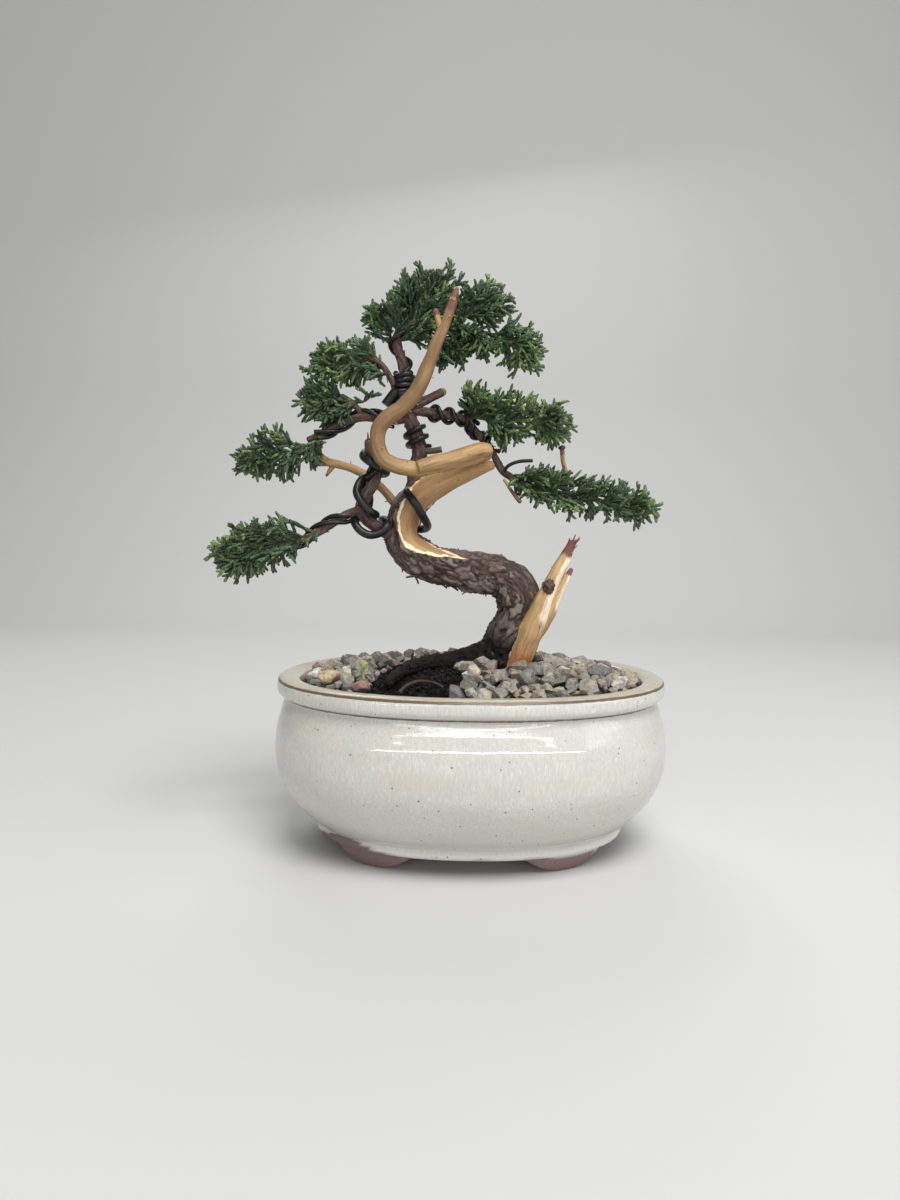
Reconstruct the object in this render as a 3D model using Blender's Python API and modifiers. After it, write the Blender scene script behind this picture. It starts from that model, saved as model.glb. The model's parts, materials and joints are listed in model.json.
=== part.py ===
"""Small juniper bonsai with carved deadwood, in an oval glazed pot on four clay feet.

Lengths below are in millimetres and are turned into metres when a mesh is made. The tree and the
pot are laid out from the pot's centre on the table: X along the pot, Y towards the back, Z up.
"""
import math

import bmesh
import bpy
from mathutils import Matrix, Vector, noise

MM = 0.001
GAP = 0.3                      # clearance between touching pieces

# Pot: an oval whose half-width is always POT_INSET less than its half-length.
POT_INSET = 14.0
OVAL_POWER = 2.2
POT_SEGMENTS = 48
# Half-length and height, from the underside up the outside, over the lip and down the inside.
POT_OUTLINE = (
    (56.5, 5.6), (59.2, 5.9), (60.2, 7.6), (59.8, 9.1), (61.8, 10.4), (66.0, 14.6), (70.2, 19.5),
    (73.3, 25.0), (75.4, 31.0), (76.2, 39.0), (75.6, 46.0), (73.8, 53.0), (72.6, 57.8), (73.4, 59.0),
    (74.9, 60.2), (75.2, 63.0), (74.4, 65.2), (72.5, 65.9), (68.5, 65.7), (66.6, 64.6), (66.2, 61.0),
    (69.0, 52.0), (71.0, 42.0), (70.5, 33.0), (67.0, 24.0), (61.0, 16.5), (54.0, 12.2), (48.0, 11.5))
FLOOR_TOP = 11.5
DRAIN_HOLE_RADIUS = 6.5
DRAIN_HOLE_X = 27.0

FOOT_ANGLES = (41.0, 72.0)     # along the oval, mirrored to the other three corners
FOOT_OUTER = 59.2              # half-length of the oval that a foot's face follows
FOOT_DEPTH = 10.0
FOOT_TOP = 8.5                 # inside the pot's floor
FOOT_FLAT_SHARE = 0.4          # share of a foot's width that touches the table

MESH_SIZE = 20.0
MESH_CELLS = 7
MESH_THICKNESS = 0.6
CLIP_RADIUS = 0.5

# Half-length and height of the root ball, inside the cavity.
SOIL_OUTLINE = (
    (50.0, 14.4), (56.5, 14.8), (60.2, 17.0), (66.3, 24.4), (69.8, 33.0), (70.3, 42.0), (68.3, 52.0),
    (65.6, 59.4))
SOIL_EDGE_HEIGHT = 60.5
SOIL_CROWN = 5.5               # how much higher the soil is at the middle than at the edge
GRAVEL_DEPTH = 3.4
GRAVEL_HALF_LENGTH = 65.7
BARE_CENTRE = (-20.0, -20.0)   # the patch of black soil that no gravel covers
BARE_HALF_AXES = (17.0, 34.0)
BARE_MOUND = 2.2
TOP_RINGS = 5
BED_SEGMENTS = 32

# Limbs: x, y, z and radius at hand-chosen stations along each.
TRUNK = (
    (14.0, 6.0, 52.0, 6.0), (14.0, 6.0, 62.0, 10.0), (14.6, 6.0, 70.0, 9.0), (16.6, 6.0, 78.0, 8.0),
    (18.8, 6.0, 85.6, 7.8), (19.6, 6.0, 93.0, 8.2), (17.6, 5.0, 99.0, 8.0), (12.6, 5.0, 103.0, 7.7),
    (6.5, 4.0, 104.8, 7.6), (-1.0, 3.0, 106.2, 7.4), (-9.0, 2.0, 107.4, 7.2), (-16.6, 2.0, 109.6, 7.1),
    (-23.0, 2.0, 113.0, 7.2), (-27.4, 2.0, 117.2, 7.2), (-29.0, 2.0, 122.6, 6.8), (-27.4, 2.0, 128.2, 6.3),
    (-23.4, 2.0, 133.0, 5.8), (-17.4, 3.0, 137.6, 5.5), (-10.0, 4.0, 141.6, 4.9), (-3.0, 5.0, 144.5, 3.8),
    (4.4, 6.0, 146.8, 2.6))
LOWER_JIN = (
    (16.5, -1.0, 66.0, 4.5), (19.6, -1.0, 74.0, 4.6), (23.6, -0.8, 83.0, 4.3), (27.4, -0.4, 92.0, 3.6),
    (31.0, 0.0, 100.4, 2.9), (35.4, 0.4, 109.8, 2.0), (39.6, 0.6, 118.8, 1.1))
LONG_JIN = (
    (6.2, 0.8, 151.8, 2.4), (2.6, -1.8, 152.0, 3.2), (-1.1, -4.0, 150.2, 3.3), (-8.7, -8.0, 147.4, 3.0),
    (-15.0, -11.0, 146.0, 2.9), (-21.7, -13.0, 144.8, 2.9), (-27.6, -15.0, 145.4, 2.9),
    (-32.8, -16.0, 147.6, 2.9), (-35.3, -16.0, 152.5, 2.9), (-35.3, -16.0, 158.5, 2.9),
    (-32.8, -16.0, 162.5, 2.9), (-27.3, -15.0, 166.7, 2.9), (-22.2, -14.0, 172.3, 2.8),
    (-19.4, -14.0, 176.8, 2.7), (-17.0, -13.0, 183.2, 2.5), (-14.2, -13.0, 190.5, 2.3),
    (-11.3, -12.0, 197.6, 2.1), (-9.4, -12.0, 202.8, 1.9), (-7.8, -12.0, 207.9, 1.7))
LONG_JIN_FORK = ((-12.3, -12.0, 196.0, 1.2), (-13.6, -13.0, 200.3, 1.1), (-14.6, -13.8, 203.4, 0.9))
LEFT_JIN = (
    (-26.0, 4.0, 128.0, 1.7), (-29.4, 5.0, 131.0, 1.7), (-34.2, 7.0, 136.4, 1.7), (-38.1, 8.0, 140.1, 1.7),
    (-42.6, 8.0, 143.6, 1.7), (-47.0, 8.0, 145.6, 1.7), (-51.4, 8.0, 147.1, 1.6),
    (-55.2, 7.0, 148.0, 1.6), (-58.8, 7.0, 148.5, 1.6), (-62.2, 6.0, 148.4, 1.7))
LEADER = (
    (-23.6, 5.0, 136.0, 3.0), (-22.2, 8.6, 145.8, 3.0), (-21.4, 10.0, 153.0, 2.8), (-22.8, 10.0, 159.3, 2.7),
    (-24.9, 10.0, 165.3, 2.6), (-27.4, 9.0, 171.2, 2.5), (-28.8, 9.0, 175.3, 2.4), (-27.6, 8.0, 181.0, 2.1),
    (-27.8, 8.0, 186.5, 1.9), (-30.0, 8.0, 192.7, 1.8), (-30.2, 7.0, 197.9, 1.6), (-27.7, 7.0, 203.0, 1.5))
CUT_STUB = ((-25.0, 9.0, 170.0, 1.9), (-21.3, 9.0, 172.2, 1.9), (-16.5, 9.0, 174.6, 1.7), (-11.4, 9.0, 177.0, 1.6))
LEFT_UPRIGHT = (
    (-28.0, 1.0, 118.5, 2.4), (-33.4, -1.0, 120.8, 2.4), (-37.4, -3.0, 123.2, 2.3), (-41.4, -4.0, 126.6, 2.3),
    (-42.8, -5.0, 130.4, 2.3), (-41.0, -5.0, 135.0, 2.3), (-38.0, -5.0, 140.2, 2.2), (-37.2, -5.0, 144.6, 2.0),
    (-38.4, -5.0, 149.0, 1.8), (-39.6, -5.0, 153.1, 1.8), (-40.0, -5.0, 156.8, 2.0))
LOWER_LEFT = (
    (-42.6, -5.0, 129.8, 1.7), (-46.3, -5.8, 128.4, 1.7), (-50.0, -6.8, 126.4, 1.7), (-54.5, -8.0, 123.6, 1.6),
    (-59.7, -9.0, 120.2, 1.5), (-65.7, -10.0, 117.4, 1.3), (-72.0, -11.0, 115.8, 1.1))
MIDDLE_LEFT = (
    (-25.0, 9.6, 166.6, 1.8), (-31.0, 9.0, 165.6, 1.8), (-37.8, 7.0, 166.0, 1.8), (-43.9, 5.0, 166.0, 1.7),
    (-49.7, 4.0, 164.2, 1.5), (-54.2, 3.0, 161.9, 1.4), (-59.2, 2.0, 159.0, 1.3), (-65.0, 1.0, 156.4, 1.1))
UPPER_LEFT = (
    (-28.4, 8.6, 175.0, 1.4), (-31.6, 6.0, 179.4, 1.3), (-34.0, 4.6, 183.4, 1.2), (-37.0, 4.4, 187.0, 1.1),
    (-42.0, 5.6, 189.6, 1.0), (-47.0, 7.0, 189.8, 0.9))
UPPER_LEFT_LOW = (
    (-43.0, 5.4, 166.4, 1.3), (-45.6, 4.8, 169.4, 1.2), (-49.0, 5.0, 171.4, 1.1), (-53.0, 5.0, 172.2, 0.9))
RIGHT_UPPER = (
    (-24.6, 9.8, 169.0, 1.8), (-19.0, 9.4, 168.8, 1.8), (-13.0, 9.2, 167.8, 1.7), (-7.0, 9.0, 166.8, 1.6),
    (-2.6, 9.0, 165.6, 1.5), (0.4, 8.8, 162.0, 1.4), (4.0, 8.4, 157.8, 1.4), (7.4, 7.8, 153.6, 1.4),
    (9.6, 7.4, 149.4, 1.4), (11.8, 7.0, 145.6, 1.4), (15.6, 6.2, 142.8, 1.3), (21.0, 5.0, 140.6, 1.1))
RIGHT_TWIG = ((-3.4, 9.6, 165.9, 1.2), (2.0, 10.0, 167.4, 1.1), (8.0, 9.4, 168.2, 0.9))
APEX_TWIG = (
    (-29.0, 7.2, 200.4, 1.1), (-22.0, 9.0, 201.4, 1.0), (-14.0, 10.0, 201.2, 1.0), (-5.0, 9.0, 199.4, 0.9),
    (4.0, 6.0, 196.8, 0.9), (12.0, 3.0, 193.6, 0.8))
DEAD_TWIG = ((37.0, 6.0, 144.9, 0.9), (35.6, 6.0, 149.2, 0.8), (35.1, 6.0, 154.3, 1.0))
LEFT_ROOT = (
    (11.0, 8.0, 69.5, 3.6), (3.0, 12.0, 70.2, 3.4), (-5.0, 13.6, 69.6, 2.8), (-12.0, 12.6, 69.0, 2.3),
    (-18.0, 8.0, 68.8, 2.0), (-23.0, -2.0, 68.4, 1.8), (-26.0, -13.0, 68.2, 1.7), (-28.6, -24.0, 67.4, 1.5),
    (-30.0, -32.0, 66.2, 1.3))
ROOTLET = (
    (-25.0, -42.0, 65.0, 0.6), (-22.4, -38.0, 67.0, 0.6), (-18.0, -35.4, 68.0, 0.6), (-13.0, -36.0, 67.6, 0.5),
    (-9.6, -38.0, 66.4, 0.5))
SPROUT = ((-38.6, -30.0, 65.2, 0.6), (-39.0, -30.4, 69.0, 0.6), (-38.6, -30.8, 72.6, 0.5))

# Wires: radius, the limb that carries it, its start and end share along the limb, turns and start angle.
TRUNK_WIRE_RADIUS = 1.6
TRUNK_WIRE_LEAD = (
    (-39.6, 0.6, 115.8), (-40.6, -5.6, 116.6), (-43.8, -9.4, 120.6), (-45.8, -11.2, 126.0),
    (-44.4, -10.8, 130.4))
COILS = (
    ("wire_leader_thick", 1.4, "live_leader", 0.20, 0.42, 2.5, 200.0),
    ("wire_leader", 0.9, "live_leader", 0.67, 0.94, 4.5, 40.0),
    ("wire_middle_left", 0.8, "branch_middle_left", 0.30, 0.90, 4.0, 90.0),
    ("wire_lower_left", 0.8, "branch_lower_left", 0.30, 0.92, 3.0, 90.0),
    ("wire_right_upper", 0.9, "branch_right", 0.12, 0.38, 3.5, 30.0),
)

# Foliage pads: name, centre, half sizes, tilt about Y in degrees, and the limbs that enter it.
PADS = (
    ("foliage_apex_left", (-38.5, 16.0, 197.0), (6.2, 8.0, 11.5), 0.0, ()),
    ("foliage_apex_top_left", (-19.5, 6.0, 212.4), (12.0, 12.0, 11.6), 0.0, ("live_leader", "twig_apex")),
    ("foliage_apex_top_right", (5.5, 6.0, 208.6), (11.5, 12.0, 11.8), 0.0, ("twig_apex",)),
    ("foliage_apex_right", (18.4, 0.0, 191.2), (11.5, 9.0, 7.6), 30.0, ("twig_apex",)),
    ("foliage_apex_middle", (-7.0, 8.0, 190.0), (7.4, 8.0, 6.6), 0.0, ("twig_apex",)),
    ("foliage_upper_left_top", (-56.6, 8.0, 187.4), (12.6, 11.0, 7.2), 10.0, ("branch_upper_left",)),
    ("foliage_upper_left_low", (-58.6, 5.0, 171.6), (13.4, 10.0, 6.8), -6.0,
     ("branch_upper_left_low", "branch_middle_left")),
    ("foliage_middle_left", (-77.0, 0.0, 150.6), (16.0, 10.0, 6.8), -22.0, ("branch_middle_left",)),
    ("foliage_lower_left", (-77.4, -12.0, 113.8), (24.8, 12.0, 7.8), -16.0, ("branch_lower_left",)),
    ("foliage_right_upper", (19.6, 6.0, 169.4), (19.8, 13.0, 8.6), 12.0, ("twig_right_upper",)),
    ("foliage_right_lower", (42.6, 2.0, 136.6), (33.4, 12.0, 6.8), 14.0, ("branch_right", "dead_twig")),
)
ROUNDER_LIMBS = {"trunk": 3}    # bevel resolution of limbs that need more sides than the rest
WIRED_LIMBS = ("live_leader", "branch_middle_left", "branch_lower_left", "branch_right")
WIRE_ALLOWANCE = 2.6           # room that a pad leaves round a wired limb
PAD_LUMPS = 0.07               # height of a pad's lumps, as a share of its size

# Larger stones that lie on the bed: name, centre, half sizes, turn about Z in degrees.
STONES = (
    ("stone_beige", (-52.0, -24.5, 68.2), (4.6, 3.4, 3.0), 20.0),
    ("stone_white", (-58.6, -15.4, 67.6), (3.2, 2.8, 2.4), 60.0),
    ("stone_speckled", (-45.6, -27.8, 69.6), (2.6, 2.4, 3.6), 0.0),
    ("stone_grey_left", (-42.6, -14.0, 70.2), (4.2, 3.4, 2.8), 40.0),
    ("stone_wine", (-38.6, -38.2, 67.8), (3.6, 3.0, 2.4), 10.0),
    ("stone_cream", (1.4, -30.0, 71.6), (2.8, 2.6, 3.4), 0.0),
    ("stone_grey_front", (20.0, -34.0, 71.2), (4.2, 3.6, 3.8), 70.0),
    ("stone_slate", (50.0, -8.0, 69.7), (5.4, 4.0, 2.8), 15.0),
)
STONE_ROUGHNESS = 0.28

# Base colour, roughness and metallic value of each finish.
FINISHES = {
    "cream_glaze": ((0.66, 0.64, 0.55), 0.22, 0.0),
    "bark": ((0.085, 0.060, 0.052), 0.90, 0.0),
    "bare_wood": ((0.50, 0.29, 0.12), 0.62, 0.0),
    "black_wire": ((0.015, 0.015, 0.017), 0.38, 0.4),
    "juniper_green": ((0.035, 0.105, 0.030), 0.60, 0.0),
    "wet_soil": ((0.018, 0.013, 0.010), 0.80, 0.0),
    "grey_stone": ((0.34, 0.34, 0.33), 0.75, 0.0),
    "warm_stone": ((0.50, 0.42, 0.31), 0.70, 0.0),
    "plastic_mesh": ((0.02, 0.02, 0.02), 0.55, 0.0),
    "fresh_shoot": ((0.42, 0.45, 0.14), 0.60, 0.0),
}

BOX_SHIFT = (11.9, 0.0)        # moves the model so that its box is centred over the origin


def clear_scene():
    """Remove what the file opened with."""
    for obj in list(bpy.data.objects):
        bpy.data.objects.remove(obj, do_unlink=True)


def make_material(name):
    """A Principled material from the FINISHES table."""
    if name in bpy.data.materials:
        return bpy.data.materials[name]
    colour, roughness, metallic = FINISHES[name]
    material = bpy.data.materials.new(name)
    material.use_nodes = True
    shader = material.node_tree.nodes["Principled BSDF"]
    shader.inputs["Base Color"].default_value = (*colour, 1.0)
    shader.inputs["Roughness"].default_value = roughness
    shader.inputs["Metallic"].default_value = metallic
    return material


def place(obj, finish):
    """Put a finished part in the model's collection, under the empty at the pot's centre."""
    MODEL.objects.link(obj)
    obj.parent = POT_CENTRE
    obj.data.materials.append(make_material(finish))
    return obj


def place_cutter(obj):
    """Put a cutter in its own collection, out of the render."""
    CUTTERS.objects.link(obj)
    obj.parent = POT_CENTRE
    obj.hide_render = True
    obj.display_type = "WIRE"
    return obj


def boolean(obj, other, operation):
    """Join a shape to a part, or cut it out of it."""
    modifier = obj.modifiers.new(f"{operation.lower()}_{other.name}", "BOOLEAN")
    modifier.operation = operation
    modifier.object = other


def mesh_from(bm, name, smooth_angle=40.0):
    """Turn a bmesh into a named mesh with outward faces."""
    bmesh.ops.recalc_face_normals(bm, faces=bm.faces)
    mesh = bpy.data.meshes.new(name)
    bm.to_mesh(mesh)
    bm.free()
    mesh.shade_smooth()
    mesh.set_sharp_from_angle(angle=math.radians(smooth_angle))
    return mesh


def loft(rings, name):
    """A closed mesh through rings of equal point counts, with a flat face at each end."""
    bm = bmesh.new()
    loops = [[bm.verts.new(Vector(point) * MM) for point in ring] for ring in rings]
    for lower, upper in zip(loops, loops[1:]):
        for i in range(len(lower)):
            j = (i + 1) % len(lower)
            bm.faces.new((lower[i], lower[j], upper[j], upper[i]))
    bm.faces.new(list(reversed(loops[0])))
    bm.faces.new(loops[-1])
    return mesh_from(bm, name)


def oval(half_length, angle, share=1.0):
    """A point of the pot's oval at an angle in radians, or a share of the way out to it."""
    cosine, sine = math.cos(angle), math.sin(angle)
    power = 2.0 / OVAL_POWER
    x = half_length * math.copysign(abs(cosine) ** power, cosine)
    y = (half_length - POT_INSET) * math.copysign(abs(sine) ** power, sine)
    return x * share, y * share


def oval_ring(half_length, height, segments):
    """A ring of points round the pot's oval at one height."""
    angles = [math.tau * i / segments for i in range(segments)]
    return [(*oval(half_length, angle), height) for angle in angles]


# ---------------------------------------------------------------- limbs and wires

def smooth_path(stations, step=3.0):
    """Points about step apart on a Catmull-Rom curve through the stations (3 or 4 values each)."""
    ends = [[2 * a - b for a, b in zip(stations[0], stations[1])],
            [2 * a - b for a, b in zip(stations[-1], stations[-2])]]
    guide = [ends[0], *stations, ends[1]]
    path = []
    for before, start, end, after in zip(guide, guide[1:], guide[2:], guide[3:]):
        count = max(1, round(math.dist(start[:3], end[:3]) / step))
        for i in range(count):
            t = i / count
            path.append([0.5 * (2 * b + (c - a) * t + (2 * a - 5 * b + 4 * c - d) * t * t
                                + (3 * b - a - 3 * c + d) * t ** 3)
                         for a, b, c, d in zip(before, start, end, after)])
    path.append(list(stations[-1]))
    return path


def curve_tube(name, path, radius, resolution=2):
    """A curve object along a path, with filled caps; a fourth value scales the radius."""
    curve = bpy.data.curves.new(name, "CURVE")
    curve.dimensions = "3D"
    curve.bevel_depth = radius * MM
    curve.bevel_resolution = resolution
    curve.use_fill_caps = True
    spline = curve.splines.new("POLY")
    spline.points.add(len(path) - 1)
    for point, station in zip(spline.points, path):
        point.co = (*(Vector(station[:3]) * MM), 1.0)
        point.radius = station[3] / radius if len(station) > 3 else 1.0
    return bpy.data.objects.new(name, curve)


def welded_tube(limb_name, extra=0.0):
    """A tube mesh along a limb's path, whose stations carry their radius, swollen by extra."""
    swollen = [(*station[:3], station[3] + extra) for station in PATHS[limb_name]]
    guide = curve_tube(f"{limb_name}_guide", swollen, 1.0, ROUNDER_LIMBS.get(limb_name, 2))
    bpy.context.scene.collection.objects.link(guide)
    bpy.context.view_layer.update()
    evaluated = guide.evaluated_get(bpy.context.evaluated_depsgraph_get())
    mesh = bpy.data.meshes.new_from_object(evaluated)
    bpy.data.objects.remove(guide, do_unlink=True)
    bm = bmesh.new()
    bm.from_mesh(mesh)
    bmesh.ops.remove_doubles(bm, verts=bm.verts, dist=0.02 * MM)
    bpy.data.meshes.remove(mesh)
    return mesh_from(bm, limb_name)


def limb(name, stations, finish, cut_by=()):
    """A tapering branch, cut back with a clearance where it leaves the limbs that bear it."""
    PATHS[name] = smooth_path(stations)
    obj = place(bpy.data.objects.new(name, welded_tube(name)), finish)
    for parent in cut_by:
        boolean(obj, clearance(parent, GAP), "DIFFERENCE")
    return obj


def clearance(limb_name, extra):
    """A cutter: a limb swollen by extra on every side."""
    name = f"clear_{limb_name}_{round(extra * 10)}"
    if name in bpy.data.objects:
        return bpy.data.objects[name]
    return place_cutter(bpy.data.objects.new(name, welded_tube(limb_name, extra)))


def coil(path, start, end, turns, angle, wire_radius, points_per_turn=8):
    """Points of a wire wound round part of a limb, a clearance off its surface."""
    count = max(2, round(turns * points_per_turn))
    points = []
    side = Vector((0.0, 1.0, 0.0))
    for i in range(count + 1):
        place_along = (start + (end - start) * i / count) * (len(path) - 1)
        index = min(int(place_along), len(path) - 2)
        blend = place_along - index
        here, ahead = path[index], path[index + 1]
        centre = Vector(here[:3]).lerp(Vector(ahead[:3]), blend)
        reach = here[3] + (ahead[3] - here[3]) * blend + GAP + wire_radius
        reach /= math.cos(math.pi / points_per_turn)    # straight runs between points stay clear
        tangent = (Vector(ahead[:3]) - Vector(here[:3])).normalized()
        side = (side - tangent * side.dot(tangent)).normalized()
        turn = math.radians(angle) + math.tau * turns * i / count
        points.append(centre + (side * math.cos(turn) + tangent.cross(side) * math.sin(turn)) * reach)
    return points


# ---------------------------------------------------------------- pot and its fittings

def foot_block(name, mirror_x, mirror_y):
    """A clay foot that follows the oval and curves down to a flat contact face."""
    steps = 10
    first, last = (math.radians(angle) for angle in FOOT_ANGLES)
    rings = []
    for i in range(steps + 1):
        along = 2.0 * i / steps - 1.0
        angle = first + (last - first) * i / steps
        rise = max(0.0, (abs(along) - FOOT_FLAT_SHARE) / (1.0 - FOOT_FLAT_SHARE))
        low = (FOOT_TOP - 1.5) * rise ** 1.8
        outer_x, outer_y = oval(FOOT_OUTER, angle)
        lower_x, lower_y = oval(FOOT_OUTER - 1.2, angle)
        inner_x, inner_y = oval(FOOT_OUTER - FOOT_DEPTH, angle)
        rings.append([(mirror_x * x, mirror_y * y, z) for x, y, z in (
            (outer_x, outer_y, FOOT_TOP), (lower_x, lower_y, low),
            (inner_x, inner_y, low), (inner_x, inner_y, FOOT_TOP))])
    return place_cutter(bpy.data.objects.new(name, loft(rings, name)))


def drill(name, x, radius, height):
    """An upright cylinder cutter through the pot's floor."""
    bm = bmesh.new()
    bmesh.ops.create_cone(bm, cap_ends=True, segments=24, radius1=radius * MM, radius2=radius * MM,
                          depth=height * MM, matrix=Matrix.Translation(Vector((x, 0.0, 8.0)) * MM))
    return place_cutter(bpy.data.objects.new(name, mesh_from(bm, name)))


def build_pot():
    """The glazed body with its lip, drainage holes and four feet, fired as one piece."""
    rings = [oval_ring(half_length, height, POT_SEGMENTS) for half_length, height in POT_OUTLINE]
    pot = place(bpy.data.objects.new("pot", loft(rings, "pot")), "cream_glaze")
    for mirror_x in (-1, 1):
        for mirror_y in (-1, 1):
            boolean(pot, foot_block(f"foot_{mirror_x}_{mirror_y}", mirror_x, mirror_y), "UNION")
    for side in (-1, 1):
        boolean(pot, drill(f"drill_{side}", side * DRAIN_HOLE_X, DRAIN_HOLE_RADIUS, 20.0), "DIFFERENCE")


def build_drainage(label, x):
    """A plastic mesh over a drainage hole, and the wire clip that holds it."""
    bm = bmesh.new()
    seat = Matrix.Translation(Vector((x, 0.0, FLOOR_TOP + GAP)) * MM)
    bmesh.ops.create_grid(bm, x_segments=MESH_CELLS, y_segments=MESH_CELLS, size=0.5 * MESH_SIZE * MM,
                          matrix=seat)
    pitch = MESH_SIZE / MESH_CELLS
    middle = Vector((x, 0.0, 0.0)) * MM
    for face in list(bm.faces):
        offset = (face.calc_center_median() - middle) / (pitch * MM)
        if round(offset.x) % 2 and round(offset.y) % 2:
            bm.faces.remove(face)
    mesh = bpy.data.meshes.new(f"drainage_mesh_{label}")
    bm.to_mesh(mesh)
    bm.free()
    net = place(bpy.data.objects.new(mesh.name, mesh), "plastic_mesh")
    solidify = net.modifiers.new("thickness", "SOLIDIFY")
    solidify.thickness = MESH_THICKNESS * MM
    solidify.offset = 1.0

    leg = pitch
    under = 5.6 - GAP - CLIP_RADIUS
    over = FLOOR_TOP + 2 * GAP + MESH_THICKNESS + CLIP_RADIUS
    half = [(x + leg + 7.0, pitch, under), (x + leg + 1.0, pitch, under), (x + leg, pitch, under + 1.0),
            (x + leg, pitch, over - 0.8), (x + leg - 0.8, pitch, over)]
    other = [(2 * x - px, py, pz) for px, py, pz in reversed(half)]
    place(curve_tube(f"mesh_clip_{label}", half + other, CLIP_RADIUS), "black_wire")


# ---------------------------------------------------------------- soil, gravel and stones

def in_bare_patch(x, y):
    """How deep a point lies in the bare patch: 1 at its middle, 0 at its edge and beyond."""
    across = (x - BARE_CENTRE[0]) / BARE_HALF_AXES[0]
    along = (y - BARE_CENTRE[1]) / BARE_HALF_AXES[1]
    return max(0.0, 1.0 - math.hypot(across, along))


def soil_height(half_length, angle, share):
    """Height of the soil's top: a low crown, and a mound in the bare patch."""
    x, y = oval(half_length, angle, share)
    mound = BARE_MOUND * min(1.0, 3.0 * in_bare_patch(x, y))
    return SOIL_EDGE_HEIGHT + SOIL_CROWN * (1.0 - share ** 2) + mound * (1.0 - share ** 6)


def top_rings(half_length, lift, mounded):
    """Rings from the edge to near the middle of the soil's top, raised by lift."""
    rings = []
    for step in range(TOP_RINGS):
        share = 1.0 - step / TOP_RINGS
        ring = []
        for i in range(BED_SEGMENTS):
            angle = math.tau * i / BED_SEGMENTS
            plain = SOIL_EDGE_HEIGHT + SOIL_CROWN * (1.0 - share ** 2)
            height = soil_height(half_length, angle, share) if mounded else plain
            ring.append((*oval(half_length, angle, share), height + lift))
        rings.append(ring)
    return rings


def build_soil():
    """The root ball, with sockets for the trunk and the root that lie in it."""
    rings = [oval_ring(half_length, height, BED_SEGMENTS) for half_length, height in SOIL_OUTLINE]
    rings += top_rings(SOIL_OUTLINE[-1][0], 0.0, True)
    soil = place(bpy.data.objects.new("soil", loft(rings, "soil")), "wet_soil")
    for name in ("trunk", "deadwood_lower_jin", "root_left", "fine_rootlet", "sprout"):
        boolean(soil, clearance(name, GAP), "DIFFERENCE")


def build_gravel_bed():
    """The layer of loose gravel over the soil, open over the bare patch."""
    upper = top_rings(GRAVEL_HALF_LENGTH, GRAVEL_DEPTH, False)
    lower = top_rings(GRAVEL_HALF_LENGTH, 3 * GAP, True)
    bed = place(bpy.data.objects.new("gravel_bed", loft(list(reversed(lower)) + upper, "gravel_bed")),
                "grey_stone")
    bm = bmesh.new()
    bmesh.ops.create_cone(bm, cap_ends=True, segments=32, radius1=MM, radius2=MM, depth=30 * MM)
    bmesh.ops.scale(bm, vec=(BARE_HALF_AXES[0] + 1.0, BARE_HALF_AXES[1] + 1.0, 1.0), verts=bm.verts)
    bmesh.ops.translate(bm, vec=Vector((*BARE_CENTRE, 66.0)) * MM, verts=bm.verts)
    boolean(bed, place_cutter(bpy.data.objects.new("bare_patch", mesh_from(bm, "bare_patch"))), "DIFFERENCE")
    for name in ("trunk", "deadwood_lower_jin", "root_left", "sprout"):
        boolean(bed, clearance(name, GAP), "DIFFERENCE")


def lumpy_ball(name, centre, half_sizes, lumps, seed, turn, detail):
    """A closed ball with uneven faces, for a stone or a foliage pad."""
    bm = bmesh.new()
    bmesh.ops.create_icosphere(bm, subdivisions=detail, radius=1.0)
    for vert in bm.verts:
        vert.co *= 1.0 + lumps * noise.noise(vert.co * 1.7 + Vector((seed, 2.0 * seed, 0.0)))
    bmesh.ops.scale(bm, vec=Vector(half_sizes) * MM, verts=bm.verts)
    bmesh.ops.transform(bm, matrix=Matrix.Translation(Vector(centre) * MM) @ turn, verts=bm.verts)
    return bpy.data.objects.new(name, mesh_from(bm, name, 60.0))


def build_stones():
    """The larger stones that lie loose on the bed."""
    for number, (name, centre, half_sizes, turn) in enumerate(STONES):
        stone = lumpy_ball(name, centre, half_sizes, STONE_ROUGHNESS, 3.0 + number,
                           Matrix.Rotation(math.radians(turn), 4, "Z"), 2)
        place(stone, "warm_stone" if number % 2 == 0 else "grey_stone")


# ---------------------------------------------------------------- tree

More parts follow.
